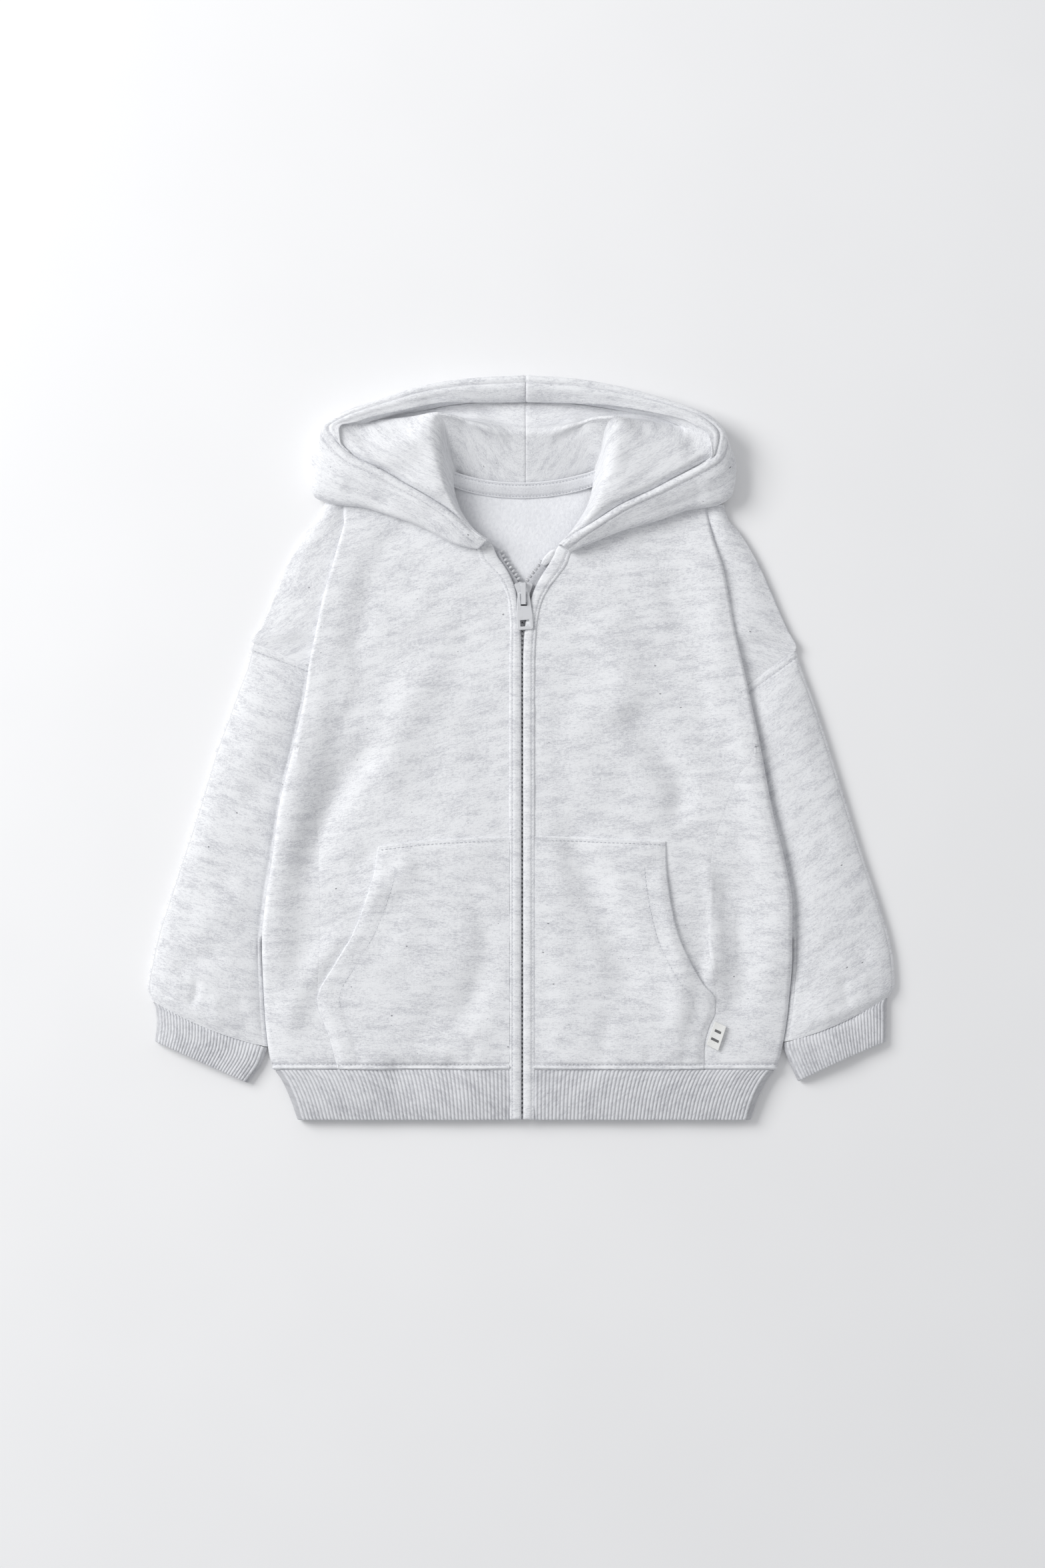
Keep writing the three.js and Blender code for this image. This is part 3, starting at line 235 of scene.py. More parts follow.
# Neck tape from one end to the other: upper x, y, z, lower x, y, z
NECK_TAPE = [
  [-47.5, 184.8, 7.2, -46.5, 174.2, 4.4], [-37, 181.2, 6.9, -36.4, 170.6, 3.1],
  [-26, 178.6, 6.7, -25.4, 168.2, 2.3],
  [-13, 176.8, 6.6, -12.6, 166.6, 2.2], [0.6, 176.3, 6.6, 0.6, 166.1, 2.2], [14.4, 177, 6.6, 14, 166.7, 2.2],
  [28, 179, 6.7, 27.4, 168.5, 2.3], [41, 182, 6.9, 40.4, 171.4, 3.1], [51.5, 185.4, 7.2, 50.6, 175, 4.4],
]

# Driving sizes
CLOTH = 2.0
BODY_LOFT = 5.5
CAP_LEVEL = 3.9
CAP_PUFF = 2.2
TURN_RADIUS = 1.35
SIDE_RADIUS = 2.7
EDGE_REACH = 32.0
SLEEVE_STACK = 5.6
SEAM_GAP = 0.03
POCKET_GAP = 0.35
SHOULDER_Y = 162.0
HEM_TOP = -210.6
SEAM_Y = HEM_TOP + SEAM_GAP
HEM_BOTTOM = -243.5
UNDERARM = 2.4
HEM_STITCH_Y = -206.6
HEM_ROLL_Y = -208.8
NECK_LIFT = 0.3
# Slope of the knit's courses over each front
GRAIN_SLOPE = {Side.RIGHT: 0.26, Side.LEFT: 0.1}

# Small creases of the body, placed one by one: x1, y1, x2, y2, half width, height
BODY_CREASES = [
    [-60, 118, -85, 75, 9, 0.5], [-35, 95, -48, 40, 10, -0.5], [-100, 112, -112, 60, 7, -0.6],
    [-115, 70, -122, 20, 6, 0.6], [-85, 40, -60, -10, 12, 0.5], [-118, 0, -138, -60, 8, -0.7],
    [-100, -20, -84, -52, 8, -0.5], [-96, -66, -112, -80, 5, -0.7], [-70, -90, -92, -150, 9, 0.6],
    [-30, -75, -22, -130, 8, -0.5], [-52, -150, -75, -200, 8, -0.6], [-28, -190, -34, -208, 4, -0.5],
    [-48, -193, -52, -208, 4, 0.4], [-110, -190, -104, -208, 5, -0.6], [-140, -150, -150, -195, 6, -0.7],
    [-128, -200, -131, -209, 3, 0.5], [-70, 150, -95, 128, 8, -0.6], [-45, 10, -30, -45, 11, 0.4],
    [48, 120, 70, 80, 9, 0.5], [96, 118, 110, 70, 7, -0.6], [120, 60, 128, 0, 6, 0.7],
    [60, 45, 40, 0, 12, 0.5], [24, 40, 28, -30, 9, -0.5], [112, -8, 100, -50, 8, -0.6],
    [140, -10, 152, -70, 7, -0.8], [92, -64, 78, -88, 6, -0.5], [60, -80, 88, -130, 9, 0.5],
    [30, -90, 40, -150, 9, -0.5], [106, -160, 96, -205, 8, 0.6], [58, -170, 52, -207, 6, -0.6],
    [24, -185, 20, -208, 4, 0.4], [150, -120, 156, -175, 5, -0.7], [84, -195, 82, -208, 4, -0.5],
    [138, -196, 141, -209, 4, 0.5], [76, 140, 100, 122, 8, -0.5], [70, -10, 52, -48, 10, -0.4],
]
SLEEVE_CREASES = {
    Side.RIGHT: [
        [-150, -8, -186, -40, 9, -0.9], [-164, -58, -205, -84, 10, -0.7], [-176, -98, -216, -118, 9, 0.8],
        [-196, -132, -228, -146, 7, -0.9], [-214, -150, -218, -169, 3, -1.2], [-190, 30, -176, -10, 8, 0.7],
        [-205, -30, -214, -80, 7, 0.6], [-236, -128, -238, -160, 6, 0.7], [-186, -160, -178, -186, 5, -0.8],
        [-168, -130, -182, -168, 7, 0.7], [-226, -150, -231, -168, 4, 0.6], [-200, -160, -198, -182, 4, 0.6],
    ],
    Side.LEFT: [
        [158, 6, 190, -26, 9, -0.9], [176, -52, 208, -66, 10, -0.8], [186, -92, 226, -104, 8, 0.8],
        [196, -128, 232, -136, 8, -0.9], [212, -148, 216, -170, 4, -0.9], [196, 34, 182, 2, 8, 0.6],
        [206, -24, 216, -70, 7, 0.7], [238, -120, 238, -154, 6, 0.7], [190, -154, 182, -184, 5, -0.9],
        [176, -110, 190, -150, 7, 0.6], [226, -146, 230, -166, 4, 0.6], [202, -156, 202, -180, 4, 0.5],
    ],
}
HOOD_CREASES = {
    Side.RIGHT: [
        [-60, 196, -96, 176, 9, -1.2], [-66, 214, -108, 200, 8, -0.9], [-46, 184, -70, 160, 6, 0.8],
        [-84, 160, -118, 172, 6, -0.8], [-60, 236, -56, 210, 7, -0.8], [-42, 214, -15, 192, 4.2, -3.6],
        [-34, 220, -9, 200, 5, 1.6], [-112, 176, -136, 188, 6, 0.7], [-36, 150, -60, 152, 5, 0.6],
    ],
    Side.LEFT: [
        [64, 190, 104, 178, 9, -1.1], [72, 212, 112, 196, 8, 0.8], [52, 182, 74, 160, 6, 0.7],
        [88, 158, 122, 170, 6, -0.8], [62, 234, 60, 210, 7, -0.7], [47, 214, 19, 192, 4.2, -3.4],
        [39, 220, 13, 200, 5, 1.6], [116, 174, 138, 186, 6, 0.7], [40, 148, 62, 150, 5, 0.5],
    ],
}


def smooth(value: Array | float) -> Array:
    """Return a soft step that is 0 below 0 and 1 above 1."""
    c = np.clip(value, 0.0, 1.0)
    return c * c * (3 - 2 * c)


def mix(a: Array | float, b: Array | float, share: Array | float) -> Array:
    """Return the value at a share of the way from a to b."""
    return a + (b - a) * share


def hump(distance: Array, width: float) -> Array:
    """Return a round hump that is 1 at no distance and fades over a width."""
    return np.exp(-((distance / width) ** 2))


def even(start: float, end: float, step: float) -> Array:
    """Return stations from start to end, about a step apart."""
    return np.linspace(start, end, max(2, round(abs(end - start) / step) + 1))


def rounded_ends(stations: Array, wall: float, first: bool = True, last: bool = True) -> Array:
    """Add close stations at the ends of a run, where the edge of the cloth rounds over.

    Args:
        stations: Stations along the run, in order.
        wall: Thickness of the cloth.
        first: Whether the run starts at an open edge.
        last: Whether the run ends at an open edge.

    Returns:
        The stations with the close ones put in.
    """
    way = math.copysign(1.0, stations[-1] - stations[0])
    near = np.array([0.1, 0.35, 0.75, 1.3]) * wall / 2 * way
    inner = stations[1:-1]
    if first:
        inner = inner[(inner - stations[0] - near[-1]) * way > 0.1]
        inner = np.concatenate([stations[0] + near, inner])
    if last:
        inner = inner[(stations[-1] - near[-1] - inner) * way > 0.1]
        inner = np.concatenate([inner, stations[-1] - near[::-1]])
    return np.concatenate([stations[:1], inner, stations[-1:]])


def to_hem(start: float, step: float) -> Array:
    """Return rows from a start to the hem seam, close together along the rolled edge above the band."""
    rows = np.concatenate([even(start, -201.5, step), even(-201.5, SEAM_Y, 0.6)[1:]])
    return rounded_ends(rows, CLOTH, False, True)


def crease_height(creases: Sequence[Sequence[float]], x: Array, y: Array) -> Array:
    """Return the summed height of soft creases at places on the cloth.

    Args:
        creases: Rows of x1, y1, x2, y2, half width and height.
        x: Places along X.
        y: Places along Y.

    Returns:
        Height of the creases, with troughs below zero.
    """
    total = np.zeros(np.broadcast(x, y).shape)
    for x1, y1, x2, y2, width, height in creases:
        length = math.dist((x1, y1), (x2, y2))
        ux, uy = (x2 - x1) / length, (y2 - y1) / length
        f = np.clip(((x - x1) * ux + (y - y1) * uy) / length, 0, 1)
        bow = 0.1 * length * np.sin(np.pi * f) * math.sin(x1 * 0.7 + y2)
        across = np.hypot(x - mix(x1, x2, f) + bow * uy, y - mix(y1, y2, f) - bow * ux)
        total = total + height * hump(across, width) * smooth(4 * f + 0.2) * smooth(4 * (1 - f) + 0.2)
    return total


def slow_waves(x: Array, y: Array) -> Array:
    """Return the slight unevenness of a cloth that was smoothed down by hand."""
    return (0.16 * np.sin(x * 0.105 + 1.3 * np.sin(y * 0.043))
            + 0.14 * np.sin(y * 0.082 + 1.1 * np.sin(x * 0.061))
            + 0.1 * np.sin(0.16 * x + 0.11 * y + 2.0))


class Track:
    """Smooth line through the rows of a table that never swings past its rows."""

    def __init__(self, keys: Sequence[float], values: Sequence) -> None:
        """Prepare the slopes.

        Args:
            keys: Key of each row, all different, rising or falling.
            values: Value or values of each row.
        """
        order = np.argsort(np.asarray(keys, float))
        table = np.asarray(values, float)[order]
        self.single = table.ndim == 1
        self.keys = np.asarray(keys, float)[order]
        self.values = table.reshape(len(table), -1)
        self.steps = np.diff(self.keys)[:, None]
        rise = np.diff(self.values, axis=0) / self.steps
        self.slopes = np.concatenate([rise[:1], rise])
        before, after = self.steps[:-1], self.steps[1:]
        w1, w2 = 2 * after + before, after + 2 * before
        with np.errstate(divide="ignore", invalid="ignore"):
            middle = (w1 + w2) / (w1 / rise[:-1] + w2 / rise[1:])
        self.slopes[1:-1] = np.where(rise[:-1] * rise[1:] > 0, middle, 0.0)

    def __call__(self, key: Array | float) -> Array:
        """Return the value or values at each key."""
        key = np.asarray(key, float)
        i = np.clip(np.searchsorted(self.keys, key, side="right") - 1, 0, len(self.keys) - 2)
        step = self.steps[i]
        t = np.clip((key - self.keys[i])[..., None] / step, 0, 1)
        a, b = self.values[i], self.values[i + 1]
        c, d = self.slopes[i] * step, self.slopes[i + 1] * step
        out = a + t * c + t**2 * (3 * (b - a) - 2 * c - d) + t**3 * (2 * (a - b) + c + d)
        return out[..., 0] if self.single else out


def column_track(table: Sequence[Sequence[float]], key: int, column: int) -> Track:
    """Return the track of one column of a table over another column."""
    return Track([row[key] for row in table], [row[column] for row in table])


def row_track(table: Sequence) -> Track:
    """Return the track of all the columns of a table over the number of its row."""
    return Track(range(len(table)), table)


def lengths_along(table: Sequence[Sequence[float]]) -> Array:
    """Return the length from the first row of a table to each row, by the first two columns."""
    return np.cumsum([0, *(math.dist(a[:2], b[:2]) for a, b in zip(table, table[1:]))])


class Pattern:
    """Outlines of the body and height of its front cloth."""

    def __init__(self) -> None:
        """Make a track of each outline, with distances from the middle as positive numbers."""
        self.fold = self._outlines(FOLD)
        self.shoulder = self._outlines(SHOULDER)
        self.side_seam = self._outlines(SIDE_SEAM)
        self.front_top = {side: column_track(FRONT_TOP[side], 0, 1) for side in Side}
        self.front_zip = {side: column_track(FRONT_ZIP[side], 1, 0) for side in Side}
        self.tuck = column_track(TUCK, 0, 1)
        self.overlap = column_track(TURN, 0, 1)
        self.turn_height = column_track(TURN, 0, 2)

    @staticmethod
    def _outlines(tables: dict[Side, list[list[float]]]) -> dict[Side, Track]:
        """Return tracks of the distance from the middle over Y."""
        return {side: Track([r[1] for r in tables[side]], [abs(r[0]) for r in tables[side]]) for side in Side}

    @staticmethod
    def stack_fade(y: Array) -> Array:
        """Return how far the body side lies on the sleeve, from 0 to 1."""
        return smooth((55 - y) / 40) * (1 - smooth((-132 - y) / 33))

    def stack_height(self, side: Side, x: Array, y: Array) -> Array:
        """Return the height of the sleeve's cloth below the back panel."""
        inner = self.fold[side](y) - self.tuck(y)
        return SLEEVE_STACK * self.stack_fade(y) * smooth(1 - (inner - np.abs(x)) / 20)

    @staticmethod
    def fold_radius(y: Array) -> Array:
        """Return the radius of the side fold, in the middle of the cloth."""
        return mix(TURN_RADIUS, SIDE_RADIUS, smooth((42 - y) / 39))

    def front_edge(self, side: Side, y: Array) -> Array:
        """Return the distance of the front's side edge from the middle.

        Args:
            side: Half of the garment.
            y: Places along Y.

        Returns:
            The fold above the underarm, and the side seam below it.
        """
        fold = self.fold[side](y) - CLOTH / 2 - self.fold_radius(y)
        seam = np.minimum(self.side_seam[side](y), fold - 1.2)
        low = mix(fold - 0.95, seam, np.clip((UNDERARM - 0.5 - y) / 16.9, 0, 1)) - SEAM_GAP / 2
        return np.where(y > UNDERARM - 0.1, fold, low)

    def edge_level(self, y: Array) -> Array:
        """Return the height of the front cloth at the side fold."""
        upper = mix(CAP_LEVEL + self.turn_height(np.maximum(y, 42)), 11.7, smooth((42 - y) / 39))
        lower = CLOTH / 2 + 2 * SIDE_RADIUS + SLEEVE_STACK * self.stack_fade(y)
        return np.where(y > UNDERARM, upper, lower)

    def front_height(self, side: Side, x: Array, y: Array) -> Array:
        """Return the height of the middle of the front cloth.

        Args:
            side: Half of the garment.
            x: Places along X.
            y: Places along Y.

        Returns:
            Height over the surface, with the large folds, the small creases and the full side fold.
        """
        inner = self.fold[side](y) - np.abs(x)
        near_fold = smooth(1 - inner / EDGE_REACH)
        calm = smooth((np.abs(x) - 9) / 25)
        large = 3.0 * crease_height(FOLDS, x, y)
        small = 1.5 * crease_height(BODY_CREASES, x, y) + 1.4 * slow_waves(x, y)
        level = CLOTH / 2 + BODY_LOFT + large * calm
        height = mix(level, self.edge_level(y) + 0.4 * large * smooth(inner / 12), near_fold)
        full = 1.3 * hump(inner - 13, 10.0) * smooth((150 - y) / 40)
        return height + full + small * calm * smooth(inner / 8 - 0.2)


PATTERN = Pattern()


class Edge(Enum):
    """Edge of a sheet that is kept as rows and columns of points."""

    FIRST_ROW = "first row"
    LAST_ROW = "last row"
    FIRST_COLUMN = "first column"
    LAST_COLUMN = "last column"


@dataclass
class ClothWall:
    """Sheet of cloth kept as its middle surface, in millimetres, and made into a thin closed wall.

    Rows and columns of points make the faces. The outer side is the one that the faces' normals point to.
    """

    points: Array
    wall: Array | float = CLOTH
    relief: Array | float = 0.0
    ring: bool = False
    turned: bool = False
    wanted: Array | None = None
    last_column: Array | None = None
    sewn: frozenset[Edge] = frozenset()
    open_rows: Array | None = None
    uv: Array | None = None
    # Painted shade of each point, darker in grooves; when left empty, the grooves of the relief get it
    tone: Array | None = None

    def __post_init__(self) -> None:
        """Work out the faces, the normals and the rounding of the edges."""
        rows, columns = self.points.shape[:2]
        ids = np.arange(rows * columns).reshape(rows, columns)
        beside = np.roll(ids, -1, axis=1) if self.ring else ids[:, 1:]
        here = ids if self.ring else ids[:, :-1]
        quads = np.stack([here[:-1], here[1:], beside[1:], beside[:-1]], axis=-1)
        if self.wanted is not None:
            quads = quads[self.wanted]
        quads = quads.reshape(-1, 4)
        self.quads = quads[:, ::-1] if self.turned else quads
        flat = self.points.reshape(-1, 3)
        a, b, c, d = (flat[self.quads[:, k]] for k in range(4))
        facing = np.cross(c - a, d - b)
        normals = np.zeros_like(flat)
        for k in range(4):
            np.add.at(normals, self.quads[:, k], facing)
        length = np.linalg.norm(normals, axis=1, keepdims=True)
        self.normals = (normals / np.maximum(length, 1e-9)).reshape(self.points.shape)
        self.rounding = self._rounding()

    def _rounding(self) -> Array:
        """Return the share of the wall at each point, which falls towards the edges."""
        half = np.broadcast_to(np.asarray(self.wall, float) / 2, self.points.shape[:2])
        sewn = [edge in self.sewn for edge in Edge]
        share = self._end_share(self.points, half, None, sewn[0], sewn[1], 0.15)
        if not self.ring:
            last = sewn[3] if self.open_rows is None else ~self.open_rows
            turned = self.points.swapaxes(0, 1)
            across = self._end_share(turned, half.T, self.last_column, sewn[2], last, 0.06)
            share = share * across.T
        return share

    @staticmethod
    def _end_share(points: Array, half: Array, last: Array | None, sewn_start: bool,
                   sewn_end: bool | Array, dip: float) -> Array:
        """Return the rounding along the first axis.

        Args:
            points: Points of the sheet, with the run along the first axis.
            half: Half of the wall at each point.
            last: Number of the last point of each run, or None where all are used.
            sewn_start: Whether the start is sewn to a neighbour.
            sewn_end: Whether the end is sewn to a neighbour.
            dip: Share of the wall that a sewn edge loses.

        Returns:
            Share of the wall at each point: a full rounding at an open edge and a slight dip at a sewn one.
        """
        steps = np.linalg.norm(np.diff(points, axis=0), axis=2)
        gone = np.concatenate([np.zeros((1, points.shape[1])), np.cumsum(steps, axis=0)])
        total = gone[-1] if last is None else np.take_along_axis(gone, last[None, :], axis=0)[0]

        def share(distance: Array, sewn: bool | Array) -> Array:
            d = np.maximum(distance, 0)
            rounded = np.sqrt(np.clip(1 - (1 - np.minimum(d, half) / half) ** 2, 0.07, 1))
            dipped = 1 - dip * (1 - smooth(d / 1.6))
            return np.where(sewn, dipped, rounded)

        shares = share(gone, sewn_start) * share(total - gone, sewn_end)
        return np.where(gone > total + 1e-6, 1.0, shares)

    def outside(self, lift: float = 0.0) -> Array:
        """Return the outer surface, lifted off it where wanted."""
        out = (self.wall / 2 + self.relief) * self.rounding + lift
        return self.points + self.normals * np.broadcast_to(out, self.points.shape[:2])[..., None]

    def place(self, row: Array, column: Array, lift: float = 0.0) -> tuple[Array, Array]:
        """Return points on the outer surface and their normals.

        Args:
            row: Row of each point, also between rows.
            column: Column of each point, also between columns.
            lift: Distance over the surface.

        Returns:
            The points and the normals.
        """
        both = np.concatenate([self.outside(lift), self.normals], axis=2)
        rows, columns = both.shape[:2]
        i = np.clip(np.floor(row).astype(int), 0, rows - 2)
        j = np.clip(np.floor(column).astype(int), 0, columns - 1 if self.ring else columns - 2)
        f, g = (row - i)[:, None], (column - j)[:, None]
        k = (j + 1) % columns
        found = mix(mix(both[i, j], both[i, k], g), mix(both[i + 1, j], both[i + 1, k], g), f)
        return found[:, :3], found[:, 3:]

    def build(self, name: str, finishes: Sequence[Material]) -> Object:
        """Make the piece.

        Args:
            name: Name of the piece.
            finishes: Material of the outer side, then of the inner side where that differs.

        Returns:
            The finished object, at the origin.
        """
        used, place = np.unique(self.quads, return_inverse=True)
        quads = place.reshape(-1, 4)
        count = len(used)
        normals = self.normals.reshape(-1, 3)[used]
        half = np.broadcast_to(self.wall / 2 * self.rounding, self.points.shape[:2]).reshape(-1)[used, None]
        outer = self.outside().reshape(-1, 3)[used]
        inner = self.points.reshape(-1, 3)[used] - normals * half
        starts = quads.reshape(-1)
        ends = np.roll(quads, -1, axis=1).reshape(-1)
        forward, back = starts * count + ends, ends * count + starts
        open_edge = ~np.isin(forward, back)
        s, e = starts[open_edge], ends[open_edge]
        rims = np.stack([e, s, s + count, e + count], axis=1)
        faces = np.concatenate([quads, quads[:, ::-1] + count, rims])
        sides = np.zeros(len(faces), int)
        if len(finishes) > 1:
            sides[len(quads):2 * len(quads)] = 1
        uv = self.uv if self.uv is not None else self.points[..., :2]
        uv = np.tile(uv.reshape(-1, 2)[used], (2, 1)) * MM
        # Painted shade: the colour darkens in the grooves of the relief, as deep as they go
        shaded = np.clip(-np.asarray(self.relief, float), 0, 0.45) if self.tone is None else self.tone
        tone = np.broadcast_to(shaded, self.points.shape[:2]).reshape(-1)[used]
        return make_mesh(name, np.concatenate([outer, inner]), faces, finishes, sides, uv, np.tile(tone, 2))

    def run_lengths(self) -> Array:
        """Return a flat place of each point in millimetres, from lengths measured along the cloth."""
        across = np.linalg.norm(np.diff(self.points, axis=1), axis=2).cumsum(axis=1)
        along = np.linalg.norm(np.diff(self.points, axis=0), axis=2).cumsum(axis=0)
        u = np.pad(across, ((0, 0), (1, 0)))
        v = np.pad(along, ((1, 0), (0, 0)))
        return np.stack([u - u.mean(axis=1, keepdims=True), v], axis=2)


def to_metres(points: Array) -> Array:
    """Return points of the tables in metres, with the outline's middle moved to the origin."""
    return (points - np.array([0.0, OUTLINE_MIDDLE_Y, 0.0])) * MM


def make_mesh(name: str, points: Array, faces: Array, finishes: Sequence[Material],
              sides: Array | None = None, uv: Array | None = None, tone: Array | None = None) -> Object:
    """Make an object of the tables' points.

    Args:
        name: Name of the object.
        points: Points in millimetres.
        faces: Point numbers of each face.
        finishes: Materials.
        sides: Number of each face's material.
        uv: Place of each point on the flat cloth, in metres.
        tone: Share of painted shade at each point, which grows with its depth in a groove, from 0 to 1.

    Returns:
        The object, linked to the scene.
    """
    mesh = bpy.data.meshes.new(name)
    mesh.from_pydata(to_metres(points).tolist(), [], faces.tolist())
    for finish in finishes:
        mesh.materials.append(finish)
    mesh.polygons.foreach_set("use_smooth", np.ones(len(faces), bool))
    if sides is not None:
        mesh.polygons.foreach_set("material_index", sides)
    if uv is not None:
        corner = np.empty(len(mesh.loops), int)
        mesh.loops.foreach_get("vertex_index", corner)
        layer = mesh.uv_layers.new(name="cloth")
        layer.data.foreach_set("uv", uv[corner].reshape(-1).astype(float))
    if tone is not None:
        mesh.attributes.new("tone", "FLOAT", "POINT").data.foreach_set("value", tone.astype(float))
    mesh.update()
    return link(bpy.data.objects.new(name, mesh))


def link(piece: Object) -> Object:
    """Put an object into the scene and return it."""
    bpy.context.scene.collection.objects.link(piece)
    return piece


@dataclass
class Seam:
    """Line of sewing, as places on the cloth and the way that the cloth faces there."""

    points: Array
    normals: Array

    @classmethod
    def on_wall(cls, wall: ClothWall, rows: Array, columns: Array, lift: float = 0.05) -> "Seam":
        """Return the line that passes the given rows and columns of a wall."""
        return cls(*wall.place(np.asarray(rows, float), np.asarray(columns, float), lift))

    @classmethod
    def on_front(cls, side: Side, x: Array, y: Array, lift: float) -> "Seam":
        """Return a line over the body front, lifted off the middle of the front cloth."""
        x, y = np.asarray(x, float), np.asarray(y, float)

        def height(dx: float, dy: float) -> Array:
            return PATTERN.front_height(side, x + dx, y + dy)

        z = height(0, 0)
        slope = np.stack([height(0, 0) - height(1, 0), height(0, 0) - height(0, 1), np.ones_like(z)], axis=1)
        slope /= np.linalg.norm(slope, axis=1, keepdims=True)
        return cls(np.stack([x, y, z + lift], axis=1), slope)


@dataclass(frozen=True)
class Repeat:
    """Small shape repeated along lines, such as a stitch or a zip tooth. Sizes are in millimetres.

    Attributes:
        label: Name of the node tree.
        pitch: Distance from one to the next.
        length: Size along the line.
        width: Size across it.
        height: Size off the cloth.
        uneven: Largest change of size and turn of one of them.
        seed: Seed of that change.
    """

    label: str
    pitch: float
    length: float
    width: float
    height: float
    uneven: float = 0.08
    seed: int = 3

    def _tree(self, finish: Material) -> bpy.types.NodeTree:
        """Return the node tree that puts the shape along the lines.

        Args:
            finish: Material of the shape.

        Returns:
            A tree with inputs for the pitch and the three sizes.
        """
        tree = bpy.data.node_groups.new(self.label, "GeometryNodeTree")
        face = tree.interface
        face.new_socket("Lines", in_out="INPUT", socket_type="NodeSocketGeometry")
        for size in ("Pitch", "Length", "Width", "Height"):
            face.new_socket(size, in_out="INPUT", socket_type="NodeSocketFloat")
        face.new_socket("Shapes", in_out="OUTPUT", socket_type="NodeSocketGeometry")

        def node(kind: str, settings: dict | None = None, values: dict | None = None) -> bpy.types.Node:
            made = tree.nodes.new(kind)
            for key, value in (settings or {}).items():
                setattr(made, key, value)
            for key, value in (values or {}).items():
                if isinstance(value, bpy.types.NodeSocket):
                    tree.links.new(value, made.inputs[key])
                else:
                    made.inputs[key].default_value = value
            return made

        given = node("NodeGroupInput").outputs
        curve = node("GeometryNodeMeshToCurve", values={"Mesh": given["Lines"]})
        spaced = node("GeometryNodeResampleCurve", {"mode": "LENGTH"},
                      {"Curve": curve.outputs[0], "Length": given["Pitch"]})
        up = node("GeometryNodeInputNamedAttribute", {"data_type": "FLOAT_VECTOR"}, {"Name": "up"})
        along = node("GeometryNodeInputTangent")
        upright = node("FunctionNodeAlignRotationToVector", {"axis": "Z"}, {"Vector": up.outputs[0]})
        facing = node("FunctionNodeAlignRotationToVector", {"axis": "X", "pivot_axis": "Z"},
                      {"Rotation": upright.outputs[0], "Vector": along.outputs[0]})
        shape = node("GeometryNodeMeshUVSphere", values={"Segments": 6, "Rings": 5, "Radius": 0.5})
        sizes = node("ShaderNodeCombineXYZ", values={
            "X": given["Length"], "Y": given["Width"], "Z": given["Height"]})
        sized = node("GeometryNodeTransform", values={
            "Geometry": shape.outputs[0], "Scale": sizes.outputs[0]})
        change = node("FunctionNodeRandomValue", {"data_type": "FLOAT_VECTOR"}, {
            0: (1 - self.uneven,) * 3, 1: (1 + self.uneven,) * 3, "Seed": self.seed})
        put = node("GeometryNodeInstanceOnPoints", values={
            "Points": spaced.outputs[0], "Instance": sized.outputs[0],
            "Rotation": facing.outputs[0], "Scale": change.outputs[0]})
        real = node("GeometryNodeRealizeInstances", values={"Geometry": put.outputs[0]})
        soft = node("GeometryNodeSetShadeSmooth", values={"Geometry": real.outputs[0], "Shade Smooth": True})
        dressed = node("GeometryNodeSetMaterial", values={"Geometry": soft.outputs[0], "Material": finish})
        node("NodeGroupOutput", values={"Shapes": dressed.outputs[0]})
        return tree

    def along(self, name: str, seams: Sequence[Seam], finish: Material) -> Object:
        """Put the shape along the lines and return them as one plain mesh.

        Args:
            name: Name of the piece.
            seams: Lines to follow.
            finish: Material of the shape.

        Returns:
            The finished object.
        """
        points = np.concatenate([seam.points for seam in seams])
        normals = np.concatenate([seam.normals for seam in seams])
        firsts = np.cumsum([0] + [len(seam.points) for seam in seams])
        edges = [(i, i + 1) for a, b in zip(firsts[:-1], firsts[1:]) for i in range(a, b - 1)]
        mesh = bpy.data.meshes.new(name + "_lines")
        mesh.from_pydata(to_metres(points).tolist(), edges, [])
        up = mesh.attributes.new("up", "FLOAT_VECTOR", "POINT")
        up.data.foreach_set("vector", normals.reshape(-1).astype(float))
        lines = link(bpy.data.objects.new(name + "_lines", mesh))
        modifier = lines.modifiers.new(self.label, "NODES")
        modifier.node_group = self._tree(finish)
        sizes = {"Pitch": self.pitch, "Length": self.length, "Width": self.width, "Height": self.height}
        for item in modifier.node_group.interface.items_tree:
            if item.in_out == "INPUT" and item.name in sizes:
                modifier[item.identifier] = sizes[item.name] * MM
        graph = bpy.context.evaluated_depsgraph_get()
        made = bpy.data.meshes.new_from_object(lines.evaluated_get(graph), depsgraph=graph)
        bpy.data.objects.remove(lines)
        made.name = name
        return link(bpy.data.objects.new(name, made))


class Value:
    """Number socket of a material that stands in Python expressions."""

    def __init__(self, graph: "Graph", socket: bpy.types.NodeSocket) -> None:
        """Keep the socket and the graph that it belongs to."""
        self.graph = graph
        self.socket = socket

    def _with(self, operation: str, *others: "Value | float") -> "Value":
        """Return the outcome of a Math node on this value and others."""
        values = {k: other for k, other in enumerate((self, *others))}
        return self.graph.value("ShaderNodeMath", {"operation": operation}, values)

    def __add__(self, other: "Value | float") -> "Value":
        """Return the sum."""
        return self._with("ADD", other)

    __radd__ = __add__

    def __sub__(self, other: "Value | float") -> "Value":
        """Return the difference."""
        return self._with("SUBTRACT", other)

    def __rsub__(self, other: float) -> "Value":
        """Return a number less this value."""
        return self._with("MULTIPLY", -1.0)._with("ADD", other)

    def __mul__(self, other: "Value | float") -> "Value":
        """Return the product."""
        return self._with("MULTIPLY", other)

    __rmul__ = __mul__

    def __abs__(self) -> "Value":
        """Return the size without its sign."""
        return self._with("ABSOLUTE")

    def step(self, low: float, high: float) -> "Value":
        """Return a soft step from 0 at low to 1 at high."""
        settings = {"interpolation_type": "SMOOTHSTEP"}
        values = {"Value": self, "From Min": low, "From Max": high}
        return self.graph.value("ShaderNodeMapRange", settings, values)


